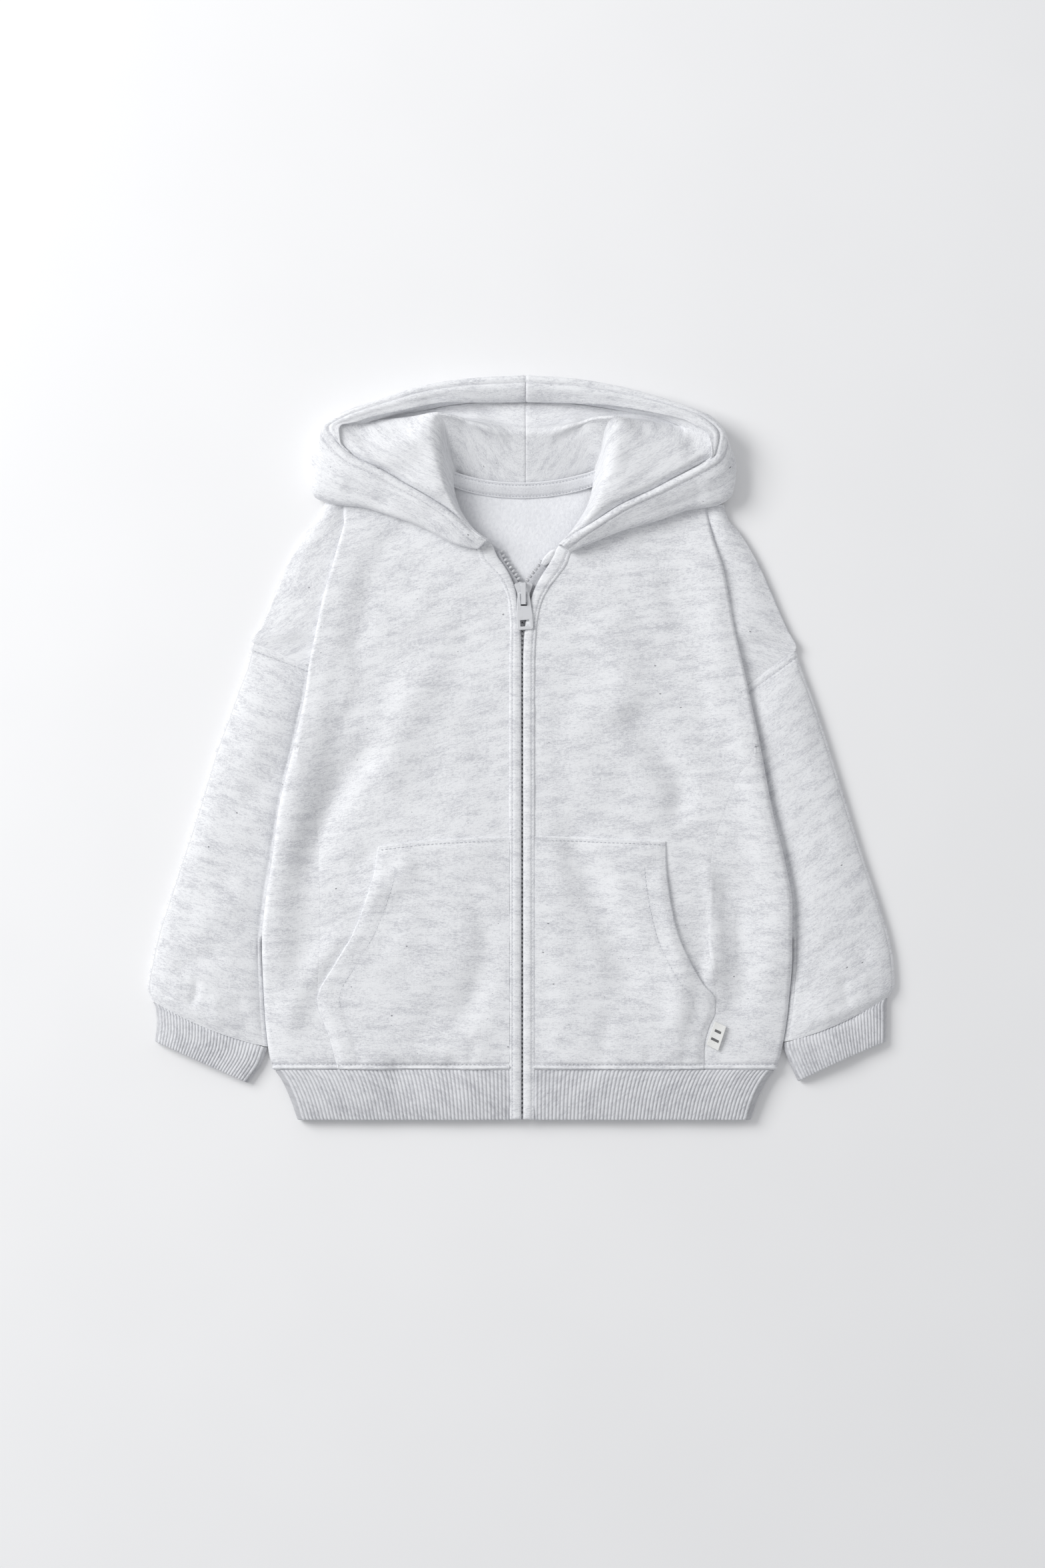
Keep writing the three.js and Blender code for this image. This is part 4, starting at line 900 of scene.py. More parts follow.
class Graph:
    """Nodes of one material."""

    def __init__(self, name: str) -> None:
        """Start a material with a shader and nothing on it."""
        self.material = bpy.data.materials.new(name)
        self.material.use_nodes = True
        self.nodes = self.material.node_tree.nodes
        self.nodes.clear()
        self.shader = self.node("ShaderNodeBsdfPrincipled")
        self.node("ShaderNodeOutputMaterial", values={"Surface": self.shader.outputs[0]})

    def node(self, kind: str, settings: dict | None = None, values: dict | None = None) -> bpy.types.Node:
        """Add a node.

        Args:
            kind: Type of the node.
            settings: Its own settings, which are set first.
            values: Numbers, colours or links of its sockets, by name or number.

        Returns:
            The node.
        """
        made = self.nodes.new(kind)
        for key, value in (settings or {}).items():
            setattr(made, key, value)
        self.fill(made, values or {})
        return made

    def fill(self, node: bpy.types.Node, values: dict) -> None:
        """Set or link the sockets of a node."""
        for key, value in values.items():
            source = value.socket if isinstance(value, Value) else value
            if isinstance(source, bpy.types.NodeSocket):
                self.material.node_tree.links.new(source, node.inputs[key])
            else:
                node.inputs[key].default_value = source

    def value(self, kind: str, settings: dict | None = None, values: dict | None = None) -> Value:
        """Add a node and return its first result as a number."""
        return Value(self, self.node(kind, settings, values).outputs[0])

    def on_cloth(self) -> bpy.types.NodeSocket:
        """Return the place on the flat cloth."""
        return self.node("ShaderNodeUVMap", {"uv_map": "cloth"}).outputs[0]

    def on_object(self) -> bpy.types.NodeSocket:
        """Return the place in the object's own coordinates."""
        return self.node("ShaderNodeTexCoord").outputs["Object"]

    def scaled(self, place: bpy.types.NodeSocket, scale: tuple[float, float, float],
               shift: tuple[float, float, float] = (0.0, 0.0, 0.0)) -> bpy.types.NodeSocket:
        """Return a place multiplied by a scale and moved by a shift."""
        return self.node("ShaderNodeVectorMath", {"operation": "MULTIPLY_ADD"},
                         {0: place, 1: scale, 2: shift}).outputs[0]

    def noise(self, place: bpy.types.NodeSocket, detail: float = 2.0, rough: float = 0.5,
              bent: float = 0.0) -> Value:
        """Return a noise at a place, from about 0.2 to 0.8."""
        return self.value("ShaderNodeTexNoise", {"noise_dimensions": "3D"}, {
            "Vector": place, "Scale": 1.0, "Detail": detail, "Roughness": rough, "Distortion": bent})

    def blend(self, share: Value, a: "tuple | bpy.types.NodeSocket",
              b: "tuple | bpy.types.NodeSocket") -> bpy.types.NodeSocket:
        """Return the colour at a share of the way from a to b."""
        made = self.node("ShaderNodeMix", {"data_type": "RGBA"}, {0: share, 6: a, 7: b})
        return made.outputs[2]

    def bump(self, height: Value, distance: float, strength: float = 1.0) -> bpy.types.NodeSocket:
        """Return the normal of a surface with a height on it, with the distance in metres."""
        return self.node("ShaderNodeBump", values={
            "Height": height, "Distance": distance, "Strength": strength}).outputs[0]


def shade(red: int, green: int, blue: int) -> tuple[float, float, float, float]:
    """Return a colour given as it shows on a screen, in linear light."""
    linear = [((c / 255 + 0.055) / 1.055) ** 2.4 if c > 10 else c / 3294.6 for c in (red, green, blue)]
    return (*linear, 1.0)


def dimmed(colour: tuple[float, float, float, float], share: float) -> tuple[float, float, float, float]:
    """Return a share of a colour's light."""
    return (*(share * c for c in colour[:3]), 1.0)


@dataclass(frozen=True)
class Knit:
    """Melange sweatshirt knit: light yarn with short darker fibres lying along its courses.

    Attributes:
        name: Name of the finish.
        light: Colour of the light yarn.
        dark: Colour of the darker fibres.
        streak: Length and height of a streak, in millimetres.
        amount: Share of the dark colour in a full streak.
        nap: Height of the fuzz, in millimetres.
        specks: Whether a few nearly black fibres show.
        sheen: Sheen of the fibre ends.
    """

    name: str
    light: tuple[float, float, float, float]
    dark: tuple[float, float, float, float]
    streak: tuple[float, float] = (2.6, 1.08)
    amount: float = 0.98
    nap: float = 0.2
    specks: bool = True
    sheen: float = 0.12

    def material(self) -> Material:
        """Return the material."""
        g = Graph(self.name)
        place = g.on_cloth()
        along, high = 1000 / self.streak[0], 1000 / self.streak[1]
        long_streaks = g.noise(g.scaled(place, (along, high, 0.0)), 3.0, 0.6, 0.35)
        short = g.scaled(place, (along * 2.6, high * 2.2, 0.0), (7.3, 2.9, 4.0))
        short_streaks = g.noise(short, 2.0, 0.6, 0.3)
        clouds = g.noise(g.scaled(place, (along * 0.19, high * 0.23, 0.0), (3.1, 8.2, 1.5)), 2.0, 0.55)
        wales = g.noise(g.scaled(place, (1500.0, 190.0, 0.0), (1.7, 0.4, 9.0)), 1.0, 0.5)
        share = (long_streaks - 0.5) * 2.1 + (short_streaks - 0.5) * 1.9 + (clouds - 0.5) * 1.7
        share = (share + wales * 0.25 + 0.3).step(0.0, 1.3) * self.amount
        colour = g.blend(share, self.light, self.dark)
        if self.specks:
            dots = g.noise(g.scaled(place, (300.0, 480.0, 0.0), (5.0, 1.0, 2.0)), 0.0).step(0.868, 0.885)
            colour = g.blend(dots * 0.7, colour, shade(80, 80, 88))
        # Painted shade: the colour turns towards a dimmed dark yarn where the points' groove shade is set, in
        # seams, stitch rows and between ribs
        groove = Value(g, g.node("ShaderNodeAttribute", {"attribute_name": "tone"}).outputs["Fac"])
        colour = g.blend(groove * (0.35 + clouds * 0.35), colour, dimmed(self.dark, 0.6))
        fuzz = g.noise(g.scaled(place, (1900.0, 1500.0, 0.0)), 2.0, 0.6)
        pile = g.noise(g.scaled(place, (420.0, 420.0, 0.0)), 3.0, 0.6)
        height = fuzz * 0.45 + pile * 0.5 + wales * 0.35
        g.fill(g.shader, {
            "Base Color": colour, "Roughness": 0.93, "Normal": g.bump(height, self.nap * MM, 0.9),
            "Sheen Weight": self.sheen, "Sheen Roughness": 0.55, "Specular IOR Level": 0.18,
        })
        return g.material


@dataclass(frozen=True)
class Brushed:
    """Brushed loops inside the cloth: pale, woolly and without streaks."""

    name: str
    light: tuple[float, float, float, float]
    dark: tuple[float, float, float, float]

    def material(self) -> Material:
        """Return the material."""
        g = Graph(self.name)
        place = g.on_cloth()
        wool = g.noise(g.scaled(place, (520.0, 360.0, 0.0)), 4.0, 0.65, 0.6)
        clouds = g.noise(g.scaled(place, (60.0, 45.0, 0.0)), 2.0)
        share = wool.step(0.35, 0.75) * 0.55 + clouds.step(0.3, 0.75) * 0.25
        g.fill(g.shader, {
            "Base Color": g.blend(share, self.light, self.dark), "Roughness": 0.97,
            "Normal": g.bump(wool, 0.35 * MM), "Sheen Weight": 0.25, "Sheen Roughness": 0.6,
            "Specular IOR Level": 0.1,
        })
        return g.material


@dataclass(frozen=True)
class Woven:
    """Flat woven tape or ribbon, with threads both ways and, on a label, two plain woven bars."""

    name: str
    light: tuple[float, float, float, float]
    dark: tuple[float, float, float, float]
    thread: float = 0.5
    bars: bool = False

    def material(self) -> Material:
        """Return the material."""
        g = Graph(self.name)
        place = g.on_cloth()
        pitch = 1000 / self.thread
        weft = g.noise(g.scaled(place, (pitch * 0.3, pitch, 0.0)), 1.0)
        warp = g.noise(g.scaled(place, (pitch, pitch * 0.3, 0.0), (4.0, 2.0, 1.0)), 1.0)
        colour = g.blend(weft.step(0.4, 0.7) * 0.4 + warp.step(0.45, 0.75) * 0.4, self.light, self.dark)
        if self.bars:
            u, v = g.node("ShaderNodeSeparateXYZ", values={0: place}).outputs[:2]
            across, down = Value(g, u), Value(g, v)
            ink = shade(52, 52, 56)
            for middle, reach in ((0.0055, 0.0021), (0.0115, 0.0026)):
                bar = 1 - abs(down - middle).step(0.0008, 0.0010)
                bar = bar * (1 - abs(across).step(reach, reach + 0.0002))
                colour = g.blend(bar * 0.85, colour, ink)
        g.fill(g.shader, {
            "Base Color": colour, "Roughness": 0.85, "Normal": g.bump(weft + warp, 0.08 * MM),
            "Sheen Weight": 0.08, "Specular IOR Level": 0.25,
        })
        return g.material


@dataclass(frozen=True)
class Moulded:
    """Plastic of the zip teeth, slightly glossy, with small differences from tooth to tooth."""

    name: str
    colour: tuple[float, float, float, float]

    def material(self) -> Material:
        """Return the material."""
        g = Graph(self.name)
        place = g.on_object()
        spots = g.noise(g.scaled(place, (420.0, 420.0, 420.0)), 2.0)
        g.fill(g.shader, {
            "Base Color": g.blend(spots.step(0.35, 0.7), self.colour, dimmed(self.colour, 0.75)),
            "Roughness": spots * 0.2 + 0.35, "Normal": g.bump(spots, 0.03 * MM),
        })
        return g.material


@dataclass(frozen=True)
class Enamel:
    """Pale enamel on a zip fitting, with light rubbing."""

    name: str
    colour: tuple[float, float, float, float]

    def material(self) -> Material:
        """Return the material."""
        g = Graph(self.name)
        place = g.on_object()
        fine = g.noise(g.scaled(place, (2600.0, 2600.0, 2600.0)), 2.0)
        rubbed = g.noise(g.scaled(place, (260.0, 260.0, 260.0)), 3.0, 0.6)
        g.fill(g.shader, {
            "Base Color": g.blend(rubbed.step(0.5, 0.72) * 0.6, self.colour, dimmed(self.colour, 0.82)),
            "Roughness": rubbed * 0.25 + 0.22, "Metallic": 0.15,
            "Normal": g.bump(fine, 0.01 * MM), "Coat Weight": 0.35, "Coat Roughness": 0.2,
        })
        return g.material


@dataclass(frozen=True)
class Thread:
    """Sewing thread, with its twist."""

    name: str
    light: tuple[float, float, float, float]
    dark: tuple[float, float, float, float]

    def material(self) -> Material:
        """Return the material."""
        g = Graph(self.name)
        place = g.on_object()
        twist = g.noise(g.scaled(place, (2200.0, 2200.0, 2200.0)), 1.0)
        g.fill(g.shader, {
            "Base Color": g.blend(twist.step(0.35, 0.7), self.light, self.dark), "Roughness": 0.75,
            "Normal": g.bump(twist, 0.05 * MM), "Sheen Weight": 0.15,
        })
        return g.material


@dataclass
class Wardrobe:
    """All the finishes, made once."""

    jersey: Material = field(init=False)
    fleece: Material = field(init=False)
    rib: Material = field(init=False)
    tape: Material = field(init=False)
    zip_tape: Material = field(init=False)
    teeth: Material = field(init=False)
    enamel: Material = field(init=False)
    label: Material = field(init=False)
    thread: Material = field(init=False)

    def __post_init__(self) -> None:
        """Make the materials."""
        self.jersey = Knit("heather_jersey", shade(240, 241, 243), shade(201, 202, 207)).material()
        # The rib's colours are the jersey's a little darker: painted shade of the ribs, with its own streaks
        self.rib = Knit("heather_rib", shade(230, 231, 234), shade(192, 193, 198), streak=(2.2, 4.2),
                        amount=0.9, nap=0.1).material()
        self.fleece = Brushed("brushed_fleece", shade(244, 245, 248), shade(222, 223, 228)).material()
        self.tape = Woven("neck_tape_twill", shade(236, 237, 240), shade(208, 209, 214)).material()
        self.zip_tape = Woven("zip_tape_weave", shade(205, 206, 210), shade(160, 161, 166), 0.4).material()
        self.teeth = Moulded("zip_teeth_plastic", shade(214, 215, 218)).material()
        self.enamel = Enamel("pale_enamel", shade(222, 223, 226)).material()
        self.label = Woven("label_ribbon", shade(238, 238, 236), shade(214, 214, 212), 0.3, True).material()
        self.thread = Thread("sewing_thread", shade(226, 227, 231), shade(178, 180, 188)).material()


@dataclass
class Piece:
    """Finished piece that waits to be attached to its body.

    Attributes:
        thing: The object.
        slot: Material slot of the record. Not used.
        nodes: Names of the frame's nodes that it stands for.
        cut: Width and length of the flat cut in millimetres, for a sheet.
        hold: Way in which the sheet is held. Not used.
        rests: Names of what the sheet lies on. Not used.
        area: Share of the rectangle of the cut that the cloth fills.
        body: Body that it rides on.
    """

    thing: Object
    slot: Slot
    nodes: tuple[str, ...] = ()
    cut: tuple[float, float] | None = None
    hold: Hold = Hold.LAID
    rests: tuple[str, ...] = ()
    area: float = 1.0
    body: str = GARMENT

    def declare(self) -> None:
        """Attach the piece to its body, hide the nodes that it stands for, and report it."""
        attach(self.thing, self.body)
        if self.nodes:
            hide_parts(*self.nodes)
        if self.cut:
            width, length = (size * MM for size in self.cut)
            self.area * width * length
        LOG.info("%s: %d faces on %s", self.thing.name, len(self.thing.data.polygons), self.body)


def hem_relief(x: Array, y: Array) -> Array:
    """Return the rolled edge, the sewn groove and the puckers above the hem band."""
    roll = 1.2 * hump(y - HEM_ROLL_Y, 1.35) - 0.6 * hump(y - HEM_STITCH_Y, 0.8) - 1.0 * hump(y - SEAM_Y, 0.8)
    pucker = np.sin(x * 0.93 + 0.8 * np.sin(x * 0.21)) * (0.55 + 0.45 * np.sin(x * 0.137))
    return roll + 0.22 * pucker * hump(y - HEM_ROLL_Y, 5.5)


@dataclass
class Front:
    """Front panel, with its turn over the shoulder part and that part itself."""

    side: Side
    step: float = 2.3
    turn_columns: int = 22
    cap_columns: int = 20
    wall: ClothWall = field(init=False)

    def _rows(self) -> Array:
        """Return the rows from the shoulder to the hem seam."""
        cap = CAP_END[self.side] + (0.2 if self.side is Side.RIGHT else 0.4)
        self.cap_end = cap
        upper = rounded_ends(even(SHOULDER_Y, cap, self.step), CLOTH, True, False)
        middle = even(cap, UNDERARM, self.step)[1:]
        lower = to_hem(1.9, self.step)
        return np.concatenate([upper, middle, lower])

    def build(self, wardrobe: Wardrobe) -> list[Piece]:
        """Make the panel.

        Args:
            wardrobe: The finishes.

        Returns:
            The panel.
        """
        side, sign = self.side, self.side.sign
        ys = self._rows()
        row = ys[:, None]
        fade = 1 - smooth((SHOULDER_Y - row) / 80)
        side_x = sign * PATTERN.front_edge(side, row)
        across = rounded_ends(even(0, 150, 1.9), CLOTH, True, True)[None, :] / 150
        x, y = np.zeros((len(ys), across.size)), row + np.zeros_like(across)
        for _ in range(8):
            zip_edge = PATTERN.front_zip[side](y) + sign * (0.4 * smooth((y - 80) / 20) - 0.9)
            x = mix(zip_edge, side_x, across)
            y = row + (PATTERN.front_top[side](x) - SHOULDER_Y) * fade
        z = PATTERN.front_height(side, x, y)
        main = np.stack([x, y, z], axis=2)
        edge = main[:, -1:]
        points = np.concatenate([main, self._turn(edge, row), self._cap(edge, row)], axis=1)
        inner = main.shape[1] - 1
        half_turn = self.turn_columns // 2 + 3
        i = np.arange(len(ys) - 1)[:, None]
        j = np.arange(points.shape[1] - 1)[None, :]
        full = int(np.argmax(ys < self.cap_end - 0.01))
        under = int(np.argmax(ys < UNDERARM - 0.01)) - 1
        wanted = (j < inner) | ((j < inner + half_turn) & (i < under)) | (i + 1 <= full - 1)
        last_column = np.where(ys > self.cap_end - 0.01, points.shape[1] - 1,
                               np.where(ys > UNDERARM - 0.01, inner + half_turn, inner))
        relief = hem_relief(points[..., 0], points[..., 1])
        relief = relief + 0.12 * hump(points[..., 1] - self.cap_end, 3.0) * (np.arange(points.shape[1]) > inner)
        self.wall = ClothWall(points, CLOTH, relief, turned=sign < 0, wanted=wanted, last_column=last_column,
                              sewn=frozenset({Edge.LAST_ROW, Edge.FIRST_COLUMN}), open_rows=ys > 72)
        self.wall.uv = self._flat_places(points, inner)
        panel = self.wall.build(f"front_{side.value}_cloth", [wardrobe.jersey, wardrobe.fleece])
        return [Piece(panel, Slot.JERSEY, (f"front_{side.value}",), (190, 378), Hold.FOLDED,
                      ("back_panel_cloth",), 0.8)]

    def _turn(self, edge: Array, row: Array) -> Array:
        """Return the columns of the turn: round the fold, back over the shoulder part and round again.

        Args:
            edge: Last column of the front.
            row: Row of each point, as a column.

        Returns:
            Points of the turn.
        """
        sign, n = self.side.sign, self.turn_columns
        radius = PATTERN.fold_radius(row)
        k = np.arange(1, n + 1) / n
        first, second = np.clip(k / 0.4, 0, 1) * np.pi, np.clip((k - 0.6) / 0.4, 0, 1) * np.pi
        out = np.where(k < 0.5, np.sin(first), -np.sin(second))
        share = smooth((k - 0.4) / 0.2)
        drop = np.where(k < 0.5, 0.25 * (1 - np.cos(first)), 0.5 + 0.25 * (1 - np.cos(second)))
        overlap = PATTERN.overlap(row)
        height = np.where(row > 42, PATTERN.turn_height(row), 4 * radius)
        turned = np.clip(1 + overlap / 4, 0, 1)
        b, c = mix(k, share, turned), mix(smooth(k), drop, turned)
        x = edge[..., 0] + sign * (out * radius * turned - overlap * b)
        return np.stack([x, edge[..., 1] + 0 * x, edge[..., 2] - height * c], axis=2)

    def _cap(self, edge: Array, row: Array) -> Array:
        """Return the columns of the shoulder part, from below the turn to its own outline."""
        side, sign = self.side, self.side.sign
        f = rounded_ends(even(0, 45, 45 / self.cap_columns), CLOTH, False, True)[None, 1:] / 45
        start = np.abs(edge[..., 0]) - PATTERN.overlap(row)
        end = PATTERN.shoulder[side](row) - (CLOTH / 2) * smooth((row - 70) / 8)
        is_open = smooth((row - 70) / 8)
        x = sign * mix(start, end, f)
        y = edge[..., 1] + 0 * x
        crease = 0.55 * hump(np.abs(x) - mix(start, end, 0.45), 6) * np.sin(y * 0.09 + sign)
        rise = (CAP_PUFF * is_open + 0.3) * np.sin(np.pi * f) ** 0.8 + crease * np.sin(np.pi * f)
        return np.stack([x, y, CAP_LEVEL + rise - 0.9 * smooth((f - 0.75) / 0.25) * is_open], axis=2)

    def _flat_places(self, points: Array, inner: int) -> Array:
        """Return the flat place of each point: as it lies on the front, and slanting on the shoulder part."""
        uv = points[..., :2].copy()
        run = np.linalg.norm(np.diff(points[:, inner:], axis=1)[..., [0, 2]], axis=2).cumsum(axis=1)
        sign = np.sign(points[:, inner:inner + 1, 0])
        uv[:, inner + 1:, 0] = points[:, inner:inner + 1, 0] + sign * run
        uv[:, inner + 1:, 1] += 0.35 * run
        uv[..., 1] -= GRAIN_SLOPE[self.side] * uv[..., 0]
        return uv


@dataclass
class Back:
    """Back panel: flat on the surface, and wrapped round the sides to the front below the underarms."""

    inside: float = 24.0
    tucked: float = 5.0
    inner_columns: int = 34
    arc_columns: int = 9
    seam_columns: int = 10

    def build(self, wardrobe: Wardrobe) -> list[Piece]:
        """Make the panel.

        Args:
            wardrobe: The finishes.

        Returns:
            The panel.
        """
        upper = rounded_ends(even(SHOULDER_Y, 50.2, 3), CLOTH, True, False)
        ys = np.concatenate([upper, even(49.8, 3, 4), to_hem(2.7, 2.6)])
        top = Track([-150, -130, -97.7, -62.5, -50, -43.1, -38.5, -31.3, -20.9, -10, 2.8, 13, 24.6, 35.4,
                     43, 48.4, 56, 66, 99, 134, 150],
                    [160.5, 161.6, 164.3, 168.7, 176, 180.5, 178.8, 175, 170.9, 168.7, 167.7, 168.9, 171.1, 175.3,
                     179.4, 182, 176, 169, 164.3, 161.6, 160.5])
        halves = [self._half(side, ys) for side in Side]
        middle = np.stack([0 * ys, ys, 1 + 0 * ys], axis=1)[:, None, :]
        points = np.concatenate([halves[0][:, ::-1], middle, halves[1]], axis=1)
        fade = 1 - smooth((SHOULDER_Y - ys[:, None]) / 60)
        points[..., 1] = ys[:, None] + (top(points[..., 0]) - SHOULDER_Y) * fade
        count, wide = points.shape[1], 1 + self.arc_columns + self.seam_columns
        j = np.arange(count - 1)[None, :]
        i = np.arange(len(ys) - 1)[:, None]
        outer = (j < wide) | (j >= count - 1 - wide)
        armhole = int(np.argmax(ys < 50))
        below = int(np.argmax(ys < 2.8))
        wanted = ~outer | (i + 1 < armhole) | (i >= below)
        relief = np.where(points[..., 2] > 4, hem_relief(points[..., 0], points[..., 1]), 0.0)
        sewn = frozenset({Edge.LAST_ROW, Edge.FIRST_COLUMN, Edge.LAST_COLUMN})
        self.wall = ClothWall(points, CLOTH, relief, turned=True, wanted=wanted, sewn=sewn)
        uv = points[..., :2].copy()
        run = self.wall.run_lengths()[..., 0]
        uv[..., 0] = run
        self.wall.uv = uv + np.array([0.0, 700.0])
        self.hem_row = float(np.interp(-HEM_STITCH_Y, -ys, np.arange(len(ys))))
        panel = self.wall.build("back_panel_cloth", [wardrobe.jersey, wardrobe.fleece])
        return [Piece(panel, Slot.JERSEY, ("back_panel",), (380, 375), Hold.FOLDED, (), 0.97)]

    def seams(self) -> list[Seam]:
        """Return the sewing above the hem band, from each side seam to the outer fold."""
        columns = np.linspace(0.6, self.seam_columns + 1, 24)
        last = self.wall.points.shape[1] - 1
        rows = np.full_like(columns, self.hem_row)
        return [Seam.on_wall(self.wall, rows, places, 0.2) for places in (columns, last - columns)]

    def _half(self, side: Side, ys: Array) -> Array:
        """Return the columns of one half, from beside the middle to the outer edge or the side seam.

        Args:
            side: Half of the garment.
            ys: Rows.

        Returns:
            Points of the half, with their rows' heights still straight.
        """
        y = ys[:, None]
        fold = PATTERN.fold[side](y)
        tucked = smooth((50.2 - y) / 0.3) * smooth((y - 2.8) / 0.1)
        base = fold - mix(self.inside, self.tucked, tucked)
        f = np.linspace(0, 1, self.inner_columns + 1)[None, 1:]
        inner_x = base * f
        inner_z = 1 + PATTERN.stack_height(side, inner_x, y) + 0.6 * tucked * smooth((inner_x - fold + 16) / 4)
        level = 1 + PATTERN.stack_height(side, fold - 4, y)
        turn = fold - CLOTH / 2 - SIDE_RADIUS
        half_x = mix(base, turn, 0.5)
        half_z = 1 + PATTERN.stack_height(side, half_x, y)
        a = np.linspace(-np.pi / 2, np.pi / 2, self.arc_columns)[None, :]
        arc_x, arc_z = turn + SIDE_RADIUS * np.cos(a), level + SIDE_RADIUS * (1 + np.sin(a))
        seam = np.minimum(PATTERN.front_edge(side, y) + SEAM_GAP, turn - 0.7)
        g = rounded_ends(np.linspace(0, 1, self.seam_columns - 3), 0.06, False, True)[None, 1:]
        g = np.interp(np.linspace(0, 1, self.seam_columns), np.linspace(0, 1, g.size), g[0])[None, :]
        g = np.where(np.arange(self.seam_columns)[None, :] == self.seam_columns - 1, 1.0, g)
        seam_x = mix(turn, seam, g)
        front = PATTERN.front_height(side, side.sign * seam_x, y)
        seam_z = mix(level + 2 * SIDE_RADIUS, front, np.clip(g * 3, 0, 1))
        wrap_x = np.concatenate([half_x, arc_x, seam_x], axis=1)
        wrap_z = np.concatenate([half_z, arc_z, seam_z], axis=1)
        share = np.linspace(0, 1, wrap_x.shape[1] + 1)[None, 1:]
        flat_x = mix(base, PATTERN.shoulder[side](y) - 0.4, share)
        upper = y > 50
        wrap_x, wrap_z = np.where(upper, flat_x, wrap_x), np.where(upper, 1.0, wrap_z)
        x = np.concatenate([inner_x, wrap_x], axis=1)
        z = np.concatenate([inner_z, wrap_z], axis=1)
        return np.stack([side.sign * x, y + 0 * x, z], axis=2)


@dataclass
class FlatTube:
    """Tube of cloth pressed flat, such as a sleeve or a cuff: rings between an outer and an inner edge.

    Attributes:
        outer: Outer edge of each ring.
        inner: Inner edge of each ring.
        bow: Bow of each ring towards its end.
        upper: Places across the upper side, from 0 to 1.
        lower: Places across the lower side, from 0 to 1.
        turn_steps: Faces round each edge.
    """

    outer: Array
    inner: Array
    bow: Array
    upper: Array
    lower: Array
    turn_steps: int = 8

    def rings(self, rise: Array) -> Array:
        """Return the points of the rings.

        Args:
            rise: Height of the upper side over that of a tube with nothing in it.

        Returns:
            Rings of points: upper side, inner edge, lower side, outer edge.
        """
        radius = (CAP_LEVEL - 1) / 2
        span = self.inner - self.outer
        length = np.linalg.norm(span, axis=1)[:, None]
        ux, uy = span[:, :1] / length, span[:, 1:] / length
        start, stop = CLOTH / 2 + radius + 0 * length, length - CLOTH / 2 - radius
        a = np.linspace(0, np.pi, self.turn_steps + 1)[None, 1:-1]
        s = np.concatenate([
            mix(start, stop, self.upper[None, :]), stop + radius * np.sin(a),
            mix(start, stop, self.lower[None, ::-1]), start - radius * np.sin(a)], axis=1)
        rows = len(length)
        z = np.concatenate([
            CAP_LEVEL + rise, np.repeat(1 + radius * (1 + np.cos(a)), rows, axis=0),
            np.ones((rows, self.lower.size)), np.repeat(1 + radius * (1 - np.cos(a)), rows, axis=0)], axis=1)
        f = s / length
        b = self.bow[:, None] * 4 * f * (1 - f)
        x = self.outer[:, :1] + ux * s + np.abs(uy) * np.sign(ux) * b * 0.4
        y = self.outer[:, 1:] + uy * s + np.abs(ux) * b
        return np.stack([x, y, z], axis=2)


